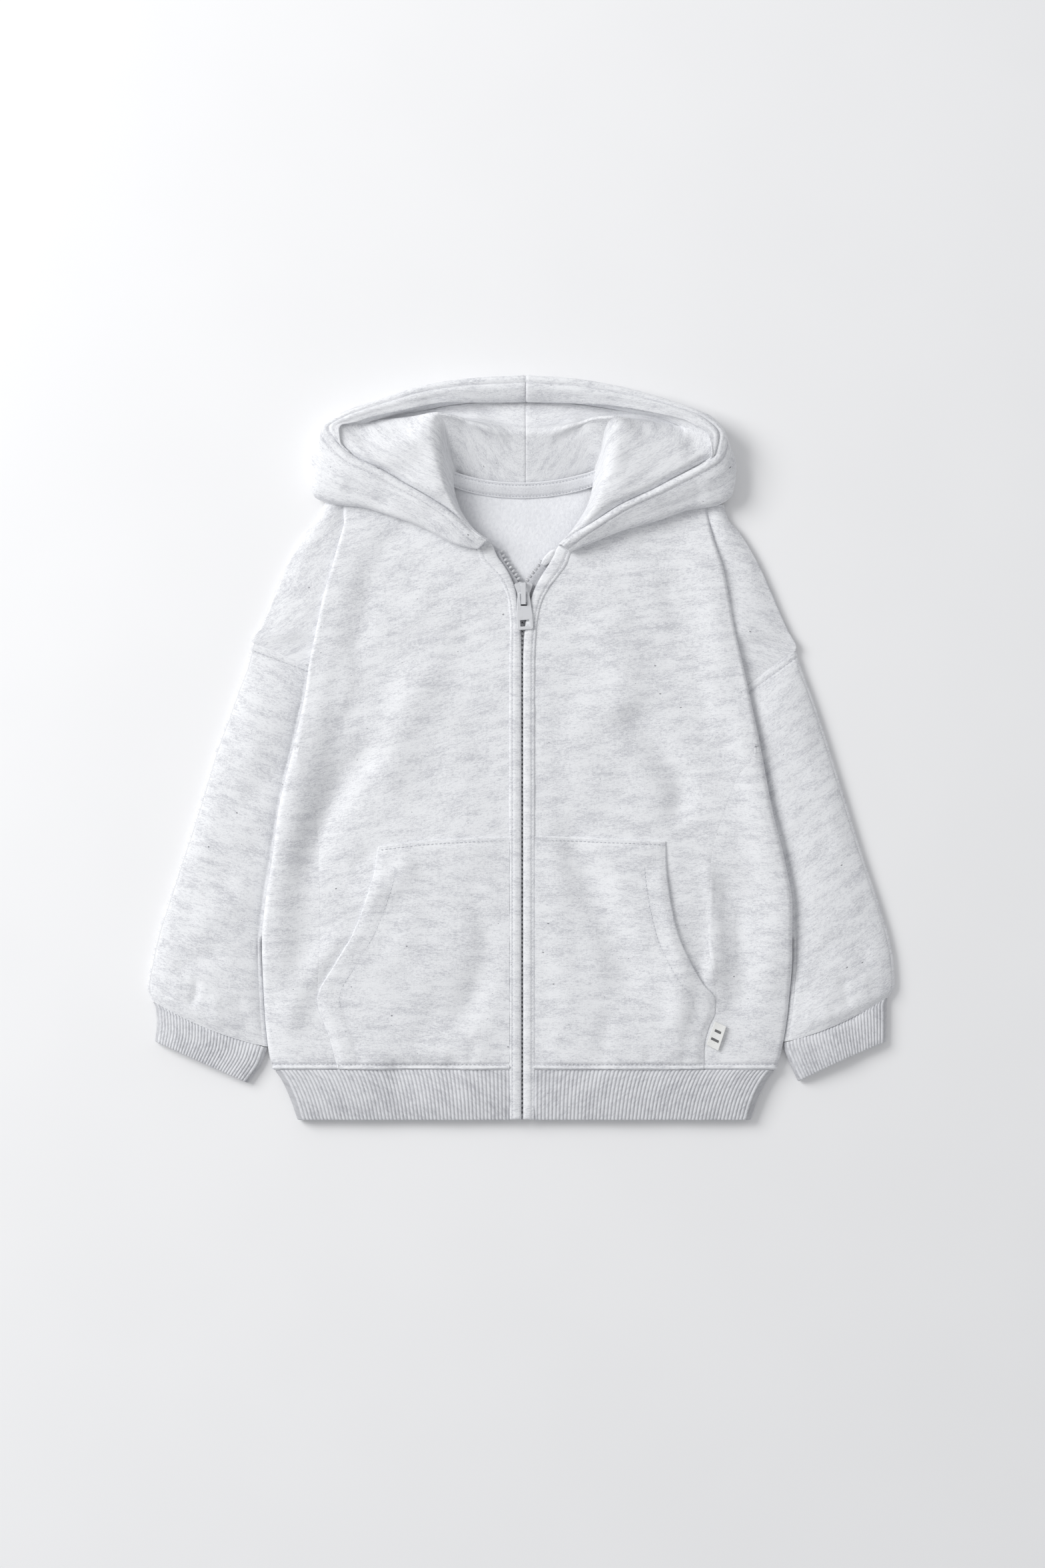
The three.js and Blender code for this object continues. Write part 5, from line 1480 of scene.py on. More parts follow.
@dataclass
class Sleeve:
    """Sleeve pressed flat, with its inner edge under the side of the body."""

    side: Side
    across: int = 64
    steps: int = 150
    puff: tuple[float, ...] = (0.5, 2.3, 4.0, 4.3, 4.2, 4.1, 4.2, 4.3, 4.5, 4.8, 5.0, 2.3)
    seam_distance: float = 4.8

    def build(self, wardrobe: Wardrobe) -> list[Piece]:
        """Make the sleeve.

        Args:
            wardrobe: The finishes.

        Returns:
            The sleeve.
        """
        side, sign = self.side, self.side.sign
        last = len(SLEEVE_INNER[side]) - 1
        k = rounded_ends(np.linspace(0, last, self.steps), 0.09, True, True)
        outer = row_track(SLEEVE_OUTER[side])(k)
        inner_y = row_track(SLEEVE_INNER[side])(k)
        tuck = np.maximum(PATTERN.tuck(inner_y), 0.0)
        inner = np.stack([sign * (PATTERN.fold[side](inner_y) - tuck), inner_y], axis=1)
        reach = np.linalg.norm(outer - inner, axis=1)
        hidden = np.clip(1 - (tuck + 1) / reach, 0.3, 1)[:, None]
        ease = (1 - np.cos(np.pi * np.linspace(0, 1, self.across))) / 2
        upper = mix(np.linspace(0, 1, self.across), ease, 0.6)
        tube = FlatTube(outer, inner, -row_track(SLEEVE_BOW)(k), upper, np.linspace(0, 1, 24))
        bump = np.sin(np.pi * np.clip(upper[None, :] / hidden, 0, 1)) ** 0.62
        puff = row_track(self.puff)(k)[:, None] + 0.9 * hump(k[:, None] - 10.55, 0.28)
        rise = puff * bump
        flat = tube.rings(rise)
        x, y = flat[:, :self.across, 0], flat[:, :self.across, 1]
        calm = smooth(k / 0.8)[:, None] * smooth((last - k) / 0.3 + 0.3)[:, None]
        creases = (1.25 * crease_height(SLEEVE_CREASES[side], x, y) + slow_waves(x, y)) * bump * calm
        points = tube.rings(rise + creases)
        to_seam = points[0] - points[8]
        to_seam /= np.linalg.norm(to_seam, axis=1, keepdims=True)
        points = points + 0.75 * smooth(1 - k / 0.25)[:, None, None] * to_seam[None]
        places = ClothWall(points, ring=True).run_lengths()
        distance = places[..., 1]
        relief = 0.12 * hump(distance - 1.8, 1.6) - 0.45 * hump(distance - self.seam_distance, 0.8)
        relief = np.where(points[..., 2] > 3, relief, 0.0)
        self.wall = ClothWall(points, CLOTH, relief, ring=True, turned=sign > 0,
                              sewn=frozenset({Edge.FIRST_ROW, Edge.LAST_ROW}))
        self.wall.uv = places + np.array([sign * 400.0, 300.0])
        self.distance = distance
        tube_cloth = self.wall.build(f"sleeve_{side.value}_cloth", [wardrobe.jersey, wardrobe.fleece])
        return [Piece(tube_cloth, Slot.JERSEY, (f"sleeve_{side.value}",), (165, 235), Hold.FOLDED, (), 0.85)]

    def seams(self) -> list[Seam]:
        """Return the sewing line beside the armhole."""
        columns = np.arange(2, int(self.across * 0.93))
        numbers = np.arange(len(self.distance))
        rows = [np.interp(self.seam_distance, self.distance[:, c], numbers) for c in columns]
        return [Seam.on_wall(self.wall, rows, columns)]


@dataclass
class Ribbing:
    """Rib knit: rounded ribs with narrow grooves between."""

    height: float = 0.62
    points_each: int = 6

    def places(self, ribs: int, each: int | None = None) -> Array:
        """Return places from 0 to 1 across a number of ribs."""
        return np.linspace(0, 1, ribs * (each or self.points_each) + 1)

    def relief(self, share: Array, ribs: int) -> Array:
        """Return the height of the ribs at shares of the whole width."""
        return self.height * np.abs(np.sin(np.pi * share * ribs)) ** 0.65


@dataclass
class Cuff:
    """Ribbed cuff pressed flat, with an open mouth."""

    side: Side
    pitch: float = 2.45
    steps: int = 26
    ribbing: Ribbing = field(default_factory=Ribbing)

    def build(self, wardrobe: Wardrobe) -> list[Piece]:
        """Make the cuff.

        Args:
            wardrobe: The finishes.

        Returns:
            The cuff.
        """
        side, sign = self.side, self.side.sign
        end_y = SLEEVE_INNER[side][-1]
        sleeve_end = [*SLEEVE_OUTER[side][-1], sign * float(PATTERN.fold[side](end_y)), end_y]
        first = [mix(a, b, 0.2) for a, b in zip(sleeve_end, CUFF[side][0])] + CUFF[side][0][4:]
        k = rounded_ends(np.linspace(0, 2, self.steps), 0.12, True, True)
        rows = Track([0, 0.25, 1, 2], [first, mix(np.array(CUFF[side][0]), np.array(CUFF[side][1]), 0.12),
                                       *CUFF[side][1:]])(k)
        ribs = round(math.dist(CUFF[side][0][:2], CUFF[side][0][2:4]) / self.pitch)
        upper = self.ribbing.places(ribs)
        lower = self.ribbing.places(ribs, 2)
        tube = FlatTube(rows[:, :2], rows[:, 2:4], -rows[:, 4], upper, lower)
        puff = row_track([0.9, 2.6, 2.8, 2.7, 2.2])(k * 2)[:, None]
        wave = 0.35 * np.sin(7 * upper[None, :] + k[:, None] + sign) + 0.25 * np.sin(15 * upper[None, :])
        bump = np.sin(np.pi * upper[None, :]) ** 0.6
        points = tube.rings((puff + wave) * bump)
        share = np.zeros(points.shape[:2])
        share[:, :upper.size] = self.ribbing.relief(upper, ribs)
        start = upper.size + tube.turn_steps - 1
        below = self.ribbing.relief(lower[::-1], ribs) - self.ribbing.height
        share[:, start:start + lower.size] = 0.6 * below
        self.wall = ClothWall(points, CLOTH, share, ring=True, turned=sign > 0,
                              sewn=frozenset({Edge.FIRST_ROW}))
        # Painted shade between the ribs, darker where a rib is low, and on the edges and underside
        self.wall.tone = 0.7 - 0.7 * np.clip(share / self.ribbing.height, 0, 1)
        self.wall.uv = self.wall.run_lengths() + np.array([sign * 200.0, 0.0])
        cloth = self.wall.build(f"cuff_{side.value}_rib", [wardrobe.rib])
        return [Piece(cloth, Slot.RIB, (f"cuff_{side.value}",), (150, 28), Hold.FOLDED)]


@dataclass
class HemBand:
    """Ribbed band round the hem, open at the zip."""

    ribs_right: int = 57
    ribs_left: int = 58
    steps: int = 16
    ribbing: Ribbing = field(default_factory=Ribbing)

    def build(self, wardrobe: Wardrobe) -> list[Piece]:
        """Make the band.

        Args:
            wardrobe: The finishes.

        Returns:
            The band.
        """
        y = rounded_ends(even(HEM_TOP - SEAM_GAP, HEM_BOTTOM, 33 / self.steps), CLOTH)[:, None]
        keys = [HEM_TOP - SEAM_GAP, -215.8, -229, HEM_BOTTOM]
        right, left, radius, puff = (
            Track(keys, values)(y) for values in (
                [-162.4, -158.6, -152.4, -147.4], [167.2, 162.9, 156.2, 151.4],
                [2.7, 2.9, 3, 2.4], [0, 1.1, 1.3, 0.2]))
        r0, l0 = right + 1 + radius, left - 1 - radius
        parts, reliefs = [], []
        for side, start, edge, outline, ribs in (
                (Side.RIGHT, -7.4, r0, right, self.ribs_right), (Side.LEFT, 8.7, l0, left, self.ribs_left)):
            f = self.ribbing.places(ribs)[None, :]
            x = mix(start, edge, f)
            at_fold = smooth(1 - np.abs(x - outline) / 30)
            share = np.maximum(at_fold, np.clip((HEM_TOP - y) / 25, 0, 1))
            front = PATTERN.front_height(side, x, np.full_like(x, HEM_TOP))
            swell = puff * np.sin(np.pi * f) ** 0.5 + 0.3 * np.sin(x * 0.11 + y * 0.05) * np.sin(np.pi * f)
            z = mix(front, 1 + 2 * radius, share) + swell
            parts.append(np.stack([x, y + 0 * x, z], axis=2))
            reliefs.append(np.broadcast_to(self.ribbing.relief(f, ribs), x.shape))
        a = np.linspace(0, np.pi, 9)[None, 1:-1]
        g = self.ribbing.places(self.ribs_right + self.ribs_left, 3)[None, :]
        turn_r = np.stack([r0 - radius * np.sin(a), y + 0 * a, 1 + radius * (1 + np.cos(a))], axis=2)
        below_x = mix(r0, l0, g)
        below = np.stack([below_x, y + 0 * below_x, np.ones_like(below_x)], axis=2)
        turn_l = np.stack([l0 + radius * np.sin(a), y + 0 * a, 1 + radius * (1 - np.cos(a))], axis=2)
        points = np.concatenate([parts[0], turn_r, below, turn_l, parts[1][:, ::-1]], axis=1)
        carved = 0.6 * (self.ribbing.relief(g, self.ribs_right + self.ribs_left) - self.ribbing.height)
        none = np.zeros(turn_r.shape[:2])
        relief = np.concatenate([
            reliefs[0], none, np.broadcast_to(carved, below_x.shape), none, reliefs[1][:, ::-1]], axis=1)
        self.wall = ClothWall(points, CLOTH, relief, turned=True, sewn=frozenset({Edge.FIRST_ROW}))
        # Painted shade between the ribs, darker where a rib is low, and darkest on the turns and underside
        self.wall.tone = 1 - np.clip(relief / self.ribbing.height, 0, 1)
        self.wall.uv = self.wall.run_lengths()
        band = self.wall.build("hem_band_rib", [wardrobe.rib])
        return [Piece(band, Slot.RIB, ("hem_band",), (645, 33), Hold.FOLDED)]


@dataclass
class Pocket:
    """Kangaroo pocket half, with a curved opening that gapes a little."""

    side: Side
    gape: dict[Side, float] = field(default_factory=lambda: {Side.RIGHT: 0.4, Side.LEFT: 1.6})
    opening_stitch: float = 14.5
    reach_size: float = 110.0

    def _gape(self, y: Array, across: Array | float) -> Array:
        """Return how far the opening stands up at rows and at shares of the way across."""
        return self.gape[self.side] * (
            smooth((-62 - y) / 30) * smooth((y + 168) / 20) * smooth((across - 0.6) / 0.4))

    def build(self, wardrobe: Wardrobe) -> list[Piece]:
        """Make the pocket.

        Args:
            wardrobe: The finishes.

        Returns:
            The pocket.
        """
        side, sign = self.side, self.side.sign
        top_line = column_track(POCKET_TOP[side], 0, 1)
        self.reach = column_track(POCKET_OPENING[side], 1, 0)
        across = rounded_ends(even(0, 100, 1.7), CLOTH)[None, :] / 100
        v = (-60 - np.concatenate([rounded_ends(even(-60, -62, 1.9), CLOTH, True, False)[:-1],
                                   to_hem(-62, 1.9)])[:, None]) / (-60 - SEAM_Y)
        top = mix(top_line(sign * 9.0), POCKET_OPENING[side][0][1], across)
        y = mix(top, SEAM_Y, v)
        x = mix(-7.7 if sign < 0 else 9.0, self.reach(y), across)
        y = mix(top_line(x), SEAM_Y, v)
        pressed = 0.3 + 0.7 * smooth((np.abs(x) - 8.5) / 26) * smooth((y - SEAM_Y) / 6)
        sewn_side = 1 - 0.7 * smooth((-160 - y) / 12) * smooth(1 - (np.abs(self.reach(y)) - np.abs(x)) / 5)
        edge_side = 0.35 + 0.65 * smooth((np.abs(self.reach(y)) - np.abs(x)) / 5)
        edge_top = 0.5 + 0.5 * smooth((top_line(x) - y) / 5)
        lift = (CLOTH + POCKET_GAP) * pressed * sewn_side * edge_side * edge_top + self._gape(y, across)
        points = np.stack([x, y, PATTERN.front_height(side, x, y) + lift], axis=2)
        below_top = top_line(x) - y
        from_edge = np.abs(self.reach(y)) - np.abs(x)
        relief = hem_relief(x, y) - 0.45 * hump(below_top - 2.6, 0.7) + 0.25 * hump(below_top - 1.2, 0.9)
        relief = relief - 0.25 * hump(from_edge - self.opening_stitch, 0.9) * smooth((-75 - y) / 10)
        relief = relief + 0.3 * hump(from_edge - 1.2, 1.3)
        self.wall = ClothWall(points, CLOTH, relief, turned=sign < 0, open_rows=y[:, -1] > -161,
                              sewn=frozenset({Edge.LAST_ROW, Edge.FIRST_COLUMN}))
        self.wall.uv = points[..., :2] + np.array([37.0, 11.0])
        cloth = self.wall.build(f"pocket_{side.value}_cloth", [wardrobe.jersey, wardrobe.fleece])
        return [Piece(cloth, Slot.JERSEY, (f"pocket_{side.value}",), (122, 155), Hold.LAID,
                      (f"front_{side.value}_cloth",), 0.86)]

    def seams(self) -> list[Seam]:
        """Return the sewing below the upper edge, inside the opening and above the hem band."""
        side, sign = self.side, self.side.sign
        lift = CLOTH * 1.5 + POCKET_GAP - 0.2
        x = sign * even(12, abs(POCKET_OPENING[side][0][0]) - 2.5, 2)
        y = column_track(POCKET_TOP[side], 0, 1)(x) - 2.6
        lines = [Seam.on_front(side, x, y, lift)]
        y = even(-78, -168, 2)
        x = sign * (np.abs(self.reach(y)) - self.opening_stitch)
        lines.append(Seam.on_front(side, x, y, lift + self._gape(y, 1 - self.opening_stitch / self.reach_size)))
        x = sign * even(12, np.abs(self.reach(HEM_STITCH_Y)) - 1, 2)
        lines.append(Seam.on_front(side, x, np.full_like(x, HEM_STITCH_Y), lift - 0.2))
        return lines


@dataclass
class Placket:
    """Pressed strip of cloth along the zip."""

    side: Side
    wall_size: float = 2.6
    width: float = 7.5
    stitch: float = 1.9

    def build(self, wardrobe: Wardrobe) -> list[Piece]:
        """Make the strip.

        Args:
            wardrobe: The finishes.

        Returns:
            The strip.
        """
        side, sign = self.side, self.side.sign
        table = PLACKET[side]
        run = lengths_along(table)
        s = rounded_ends(even(0, run[-1], 2.4), 2.0)
        rows = Track(run, table)(s)
        f = rounded_ends(np.linspace(0, self.width, 15), 2.2)[None, :] / self.width
        x = mix(rows[:, :1], rows[:, 2:3] - sign * 0.45 * smooth((95 - rows[:, 1:2]) / 20), f)
        y = mix(rows[:, 1:2], rows[:, 3:4], f)
        level = CLOTH / 2 + BODY_LOFT + row_track([0.35, 0.8, 0.9, 0.75, 0.3])(f * 4)
        ripple = 0.18 * np.sin(s * 0.19 + sign) * np.sin(s * 0.043) + 0.1 * np.sin(s * 0.5)
        z = level + ripple[:, None] * smooth((s[:, None] - 30) / 40)
        wall = mix(2.0, self.wall_size, np.sin(np.pi * f) ** 0.5) + 0 * x
        d = f * self.width
        relief = -0.42 * hump(d - self.stitch, 0.55) + 0.16 * hump(d - 0.9, 0.5) + 0.12 * np.sin(np.pi * f)
        self.wall = ClothWall(np.stack([x, y, z], axis=2), wall, relief + 0 * x, turned=sign > 0,
                              sewn=frozenset({Edge.FIRST_COLUMN}))
        uv = np.stack([d + 0 * x, s[:, None] + 0 * x], axis=2)
        self.wall.uv = uv + np.array([sign * 90.0, 40.0])
        strip = self.wall.build(f"placket_{side.value}_cloth", [wardrobe.jersey])
        self.column = float(np.interp(self.stitch, d[0], np.arange(f.size)))
        self.count = len(s)
        return [Piece(strip, Slot.JERSEY, (f"placket_{side.value}",), (16, 410), Hold.LAID,
                      (f"zip_tape_{side.value}_cloth",), 0.5)]

    def seams(self) -> list[Seam]:
        """Return the sewing along the strip."""
        rows = np.linspace(3, self.count - 4, 320)
        return [Seam.on_wall(self.wall, rows, np.full_like(rows, self.column), -0.05)]


@dataclass
class Zip:
    """Zip: two woven tapes, their moulded teeth, the slider and its pull."""

    tooth: Repeat = Repeat("zip_teeth_row", 3.0, 2.3, 3.4, 2.4, 0.04, 5)

    def build(self, wardrobe: Wardrobe) -> list[Piece]:
        """Make the tapes, the teeth, the slider and the pull.

        Args:
            wardrobe: The finishes.

        Returns:
            The pieces.
        """
        pieces, lines = [], []
        for side in Side:
            sign = side.sign
            table = TAPE[side]
            run = lengths_along(table)
            s = rounded_ends(even(0, run[-1], 3), 1.0)
            rows = Track(run, table)(s)
            f = np.array([0, 0.04, 0.12, 0.25, 0.4, 0.52, 0.6, 0.75, 0.9, 0.96, 1.0])[None, :]
            x, y = mix(rows[:, :1], rows[:, 2:3], f), mix(rows[:, 1:2], rows[:, 3:4], f)
            points = np.stack([x, y, rows[:, 4:5] + 0 * x], axis=2)
            wall = ClothWall(points, mix(1.0, 1.7, smooth((f - 0.5) / 0.15)) + 0 * x, turned=sign > 0)
            wall.uv = np.stack([f * 6 + 0 * x, s[:, None] + 0 * x], axis=2)
            tape = wall.build(f"zip_tape_{side.value}_cloth", [wardrobe.zip_tape])
            pieces.append(Piece(tape, Slot.ZIP, (f"zip_tape_{side.value}",), (12, 390), Hold.LAID, (), 0.5))
            t = even(1.5 + (1.5 if sign > 0 else 0), run[-1] - 2, 1.0)
            edge = Track(run, table)(t)
            open_part = smooth((run[-1] - t - 340) / 12)
            lean = edge[:, 2:4] - edge[:, :2]
            lean /= np.linalg.norm(lean, axis=1, keepdims=True)
            inner = edge[:, 2:4] + lean * (-0.35 + 1.5 * open_part[:, None])
            up = np.tile([0.0, 0.0, 1.0], (len(t), 1))
            lines.append(Seam(np.concatenate([inner, 4.7 + 0 * inner[:, :1]], axis=1), up))
        teeth = self.tooth.along("zip_teeth", lines, wardrobe.teeth)
        pieces.append(Piece(teeth, Slot.ZIP))
        pieces.append(Piece(self._end_cover(wardrobe.jersey), Slot.JERSEY))
        pieces.append(self._fitting("zip_slider", "zip_slider_body", wardrobe.enamel, GARMENT))
        pieces.append(self._fitting("zip_pull", "zip_pull_tab", wardrobe.enamel, PULL_BODY))
        return pieces

    @staticmethod
    def _end_cover(finish: Material) -> Object:
        """Return the padded end of the left tape, turned in above its last teeth."""
        a = np.linspace(0, 2 * np.pi, 18, endpoint=False)[None, :]
        b = np.linspace(0.05, np.pi - 0.05, 14)[:, None]
        along, across = 6.6 * np.cos(b) + 0 * a, 2.4 * np.sin(b) ** 0.7 * np.cos(a)
        turn = math.radians(48)
        x = 18.4 + along * math.cos(turn) - across * math.sin(turn)
        y = 127.0 + along * math.sin(turn) + across * math.cos(turn)
        z = 6.6 + 1.7 * np.sin(b) ** 0.7 * np.sin(a)
        cover = ClothWall(np.stack([x, y, z], axis=2), 0.5, ring=True, turned=True)
        cover.uv = np.stack([along, across], axis=2)
        return cover.build("zip_end_cover", [finish])

    @staticmethod
    def _fitting(node: str, name: str, finish: Material, body: str) -> Piece:
        """Return a fitting made of the frame's own node, with its edges rounded.

        Args:
            node: Name of the node.
            name: Name of the piece.
            finish: Its material.
            body: Body that it rides on.

        Returns:
            The piece.
        """
        source = bpy.data.objects[node]
        mesh = source.data.copy()
        mesh.name = name
        work = bmesh.new()
        work.from_mesh(mesh)
        bmesh.ops.remove_doubles(work, verts=work.verts, dist=0.02 * MM)
        bmesh.ops.dissolve_limit(work, angle_limit=math.radians(1), verts=work.verts, edges=work.edges)
        sharp = [e for e in work.edges if len(e.link_faces) == 2 and e.calc_face_angle(0) > math.radians(30)]
        bmesh.ops.bevel(work, geom=sharp, offset=0.42 * MM, segments=3, profile=0.5, affect="EDGES",
                        clamp_overlap=True)
        bmesh.ops.triangulate(work, faces=[f for f in work.faces if len(f.verts) > 4])
        work.to_mesh(mesh)
        work.free()
        mesh.materials.clear()
        mesh.materials.append(finish)
        return Piece(link(bpy.data.objects.new(name, mesh)), Slot.METAL, (node,), body=body)


@dataclass
class Hood:
    """Half of the opened hood: outer cloth and lining as one roll, with a facing along its rim."""

    side: Side
    steps: int = 130
    samples: tuple[int, ...] = (6, 8, 6, 8, 8, 7, 12, 12, 10, 8, 5, 4, 8, 7, 6)
    rim_stitch: float = 3.4
    facing_depth: float = 12.8

    def _control(self, k: Array) -> Array:
        """Return the fifteen points of each ring.

        Args:
            k: Station of each ring, also between the table's stations.

        Returns:
            Rings of points.
        """
        r = row_track(HOOD[self.side])(k)
        col = [r[:, n] for n in range(15)]
        neck, turn, rim, outer = (np.stack([col[n], col[n + 1]], axis=1) for n in (0, 3, 8, 11))
        nz, iz, valley, facing, rz, oz, under = col[2], col[5], col[6], col[7], col[10], col[13], col[14]
        bag = smooth((k - 6) / 2)
        rows = [
            (neck, turn, 0, nz), (neck, turn, 0.45, mix(nz, iz, 0.42)), (neck, turn, 0.92, mix(nz, iz, 0.86)),
            (turn, rim, mix(0.1, 0.04, bag), iz),
            (turn, rim, mix(0.36, 0.26, bag), mix(valley, valley + (iz - valley) * 0.3, bag)),
            (turn, rim, mix(0.6, 0.62, bag), mix(mix(valley, facing, 0.6), valley, bag)),
            (turn, rim, mix(0.8, 0.7, bag), facing), (turn, rim, 0.97, rz),
            (rim, outer, 0.25, mix(rz, oz, 0.16)), (rim, outer, 0.6, mix(rz, oz, 0.45)),
            (rim, outer, 0.92, mix(rz, oz, 0.8)), (outer, neck, 0.02, mix(oz, under, 0.5)),
            (outer, neck, mix(0.12, 0.06, smooth(k / 2)), under),
            (outer, neck, 0.4, mix(under, nz, 0.1 * (1 - smooth((k - 5) / 1)))),
            (outer, neck, 0.75, mix(under, nz, 0.3)),
        ]
        ring = []
        for a, b, f, z in rows:
            share = np.broadcast_to(np.asarray(f, float), k.shape)[:, None]
            ring.append(np.concatenate([mix(a, b, share), np.broadcast_to(z, k.shape)[:, None]], axis=1))
        return np.stack(ring, axis=1)

    def build(self, wardrobe: Wardrobe) -> list[Piece]:
        """Make the half hood and its facing.

        Args:
            wardrobe: The finishes.

        Returns:
            The pieces.
        """
        side, sign = self.side, self.side.sign
        last = len(HOOD[side]) - 1
        k = rounded_ends(np.linspace(0, last, self.steps), 0.12, True, True)
        control = self._control(k)
        places = np.concatenate([i + np.arange(n) / n for i, n in enumerate(self.samples)])
        points = np.empty((len(k), len(places), 3))
        for number, ring in enumerate(control):
            wrapped = np.concatenate([ring[-3:], ring, ring[:4]])
            chord = np.cumsum(np.concatenate([[0], np.linalg.norm(np.diff(wrapped, axis=0), axis=1)]))
            at = np.interp(places + 3, np.arange(len(wrapped)), chord)
            points[number] = Track(chord, wrapped)(at)
        top = smooth((places - 1.5) / 1) * smooth((12 - places) / 1)
        wave = 1.3 * crease_height(HOOD_CREASES[side], points[..., 0], points[..., 1])
        wave = wave + 0.8 * slow_waves(points[..., 0] * 1.4, points[..., 1] * 1.4)
        steps = np.linalg.norm(np.diff(points, axis=1), axis=2)
        run = np.pad(steps.cumsum(axis=1), ((0, 0), (1, 0)))
        rim_column = int(np.argmin(np.abs(places - 7.4)))
        from_rim = run - run[:, rim_column:rim_column + 1]
        near_rim = smooth(np.abs(from_rim) / 9)
        points[..., 2] += wave * top[None, :] * near_rim * smooth(k / 2)[:, None]
        points[..., 0] -= sign * 0.3 * smooth(k - last + 1)[:, None]
        points[..., 2] += self._tucked_lining(k[:, None], from_rim) + self._neck_crest(k[:, None], run)
        beside = np.abs(from_rim)
        relief = 0.3 * hump(beside - 1.2, 1.6) - 0.45 * hump(beside - self.rim_stitch, 0.75)
        to_centre = (last - k[:, None]) * 22
        relief = relief * smooth(k / 0.6)[:, None] + 0.2 * hump(to_centre, 2.2) - 0.55 * hump(to_centre, 0.9)
        wall = np.broadcast_to(Track([0, 1, 2, last], [1.2, 1.6, 2, 2])(k)[:, None], points.shape[:2])
        self.wall = ClothWall(points, wall, relief, ring=True, turned=sign > 0,
                              sewn=frozenset({Edge.LAST_ROW}))
        along = np.pad(np.linalg.norm(np.diff(points, axis=0), axis=2).mean(axis=1).cumsum(), (1, 0))
        uv = np.stack([along[:, None] + 0 * from_rim, from_rim], axis=2)
        self.wall.uv = uv + np.array([sign * 260.0, 900.0])
        self.from_rim, self.rim_column, self.k = from_rim, rim_column, k
        cloth = self.wall.build(f"hood_{side.value}_cloth", [wardrobe.jersey, wardrobe.fleece])
        facing = self._facing(wardrobe)
        return [
            Piece(cloth, Slot.JERSEY, (f"hood_{side.value}",), (200, 165), Hold.FOLDED, (), 0.85),
            Piece(facing, Slot.JERSEY, (), (150, 12), Hold.FOLDED, (f"hood_{side.value}_cloth",), 0.9),
        ]

    @staticmethod
    def _tucked_lining(k: Array, from_rim: Array) -> Array:
        """Return the change of height where the lining slips below the rolled rim, beside the neck."""
        beside = smooth((k - 0.4) / 1.2) * (1 - smooth((k - 6.2) / 1.2))
        dip = 4.2 * smooth(1 + (from_rim + 2.0) / 9) * (from_rim < -2.0)
        edge = 4.2 * smooth(-from_rim / 2.0) * (from_rim >= -2.0) * (from_rim < 0)
        return -(dip + edge) * beside + 0.5 * hump(from_rim - 1.5, 3) * beside

    @staticmethod
    def _neck_crest(k: Array, run: Array) -> Array:
        """Return the change of height behind the crest of the neck side, near the centre seam."""
        return -2.6 * hump(run - 49, 5.0) * smooth((k - 9.2) / 1.4)

    def _at_distance(self, rows: Array, distance: Array) -> Array:
        """Return the column of each row that lies at a distance from the rim, negative towards the neck."""
        count = self.rim_column + 30
        return np.array([np.interp(d, self.from_rim[i, :count], np.arange(count))
                         for i, d in zip(rows, distance)])

    def _facing(self, wardrobe: Wardrobe) -> Object:
        """Make the facing, a strip of the same cloth sewn inside the rim.

        Args:
            wardrobe: The finishes.

        Returns:
            The strip.
        """
        first = int(np.argmax(self.k > 6.2))
        rows = np.arange(first, len(self.k) - 1)
        depth = self.facing_depth * smooth((self.k[rows] - 6.0) / 3.2) + 0.2
        share = rounded_ends(np.linspace(0, 1, 12), 0.12, False, True)
        points = np.empty((len(rows), len(share), 3))
        for n, f in enumerate(share):
            columns = self._at_distance(rows, -mix(np.full(len(rows), self.rim_stitch - 0.2), depth + 2.2, f))
            lift = mix(0.15, 1.15, smooth(f / 0.25)) + 0.9 * smooth((f - 0.5) / 0.5)
            points[:, n] = self.wall.place(rows.astype(float), columns, lift)[0]
        relief = 0.12 * np.sin(np.arange(len(rows)) * 0.55)[:, None] * share[None, :]
        strip = ClothWall(points, 1.3, relief, turned=self.side.sign > 0)
        strip.uv = strip.run_lengths()[..., ::-1] + np.array([self.side.sign * 150.0, 500.0])
        return strip.build(f"hood_{self.side.value}_facing", [wardrobe.jersey])

    def seams(self) -> list[Seam]:
        """Return the sewing along the rim, on its inner and outer side."""
        lines = []
        for distance in (-self.rim_stitch, self.rim_stitch):
            rows = np.arange(8, len(self.k) - 3)
            columns = self._at_distance(rows, np.full(len(rows), distance))
            lines.append(Seam.on_wall(self.wall, rows, columns, -0.05))
        return lines


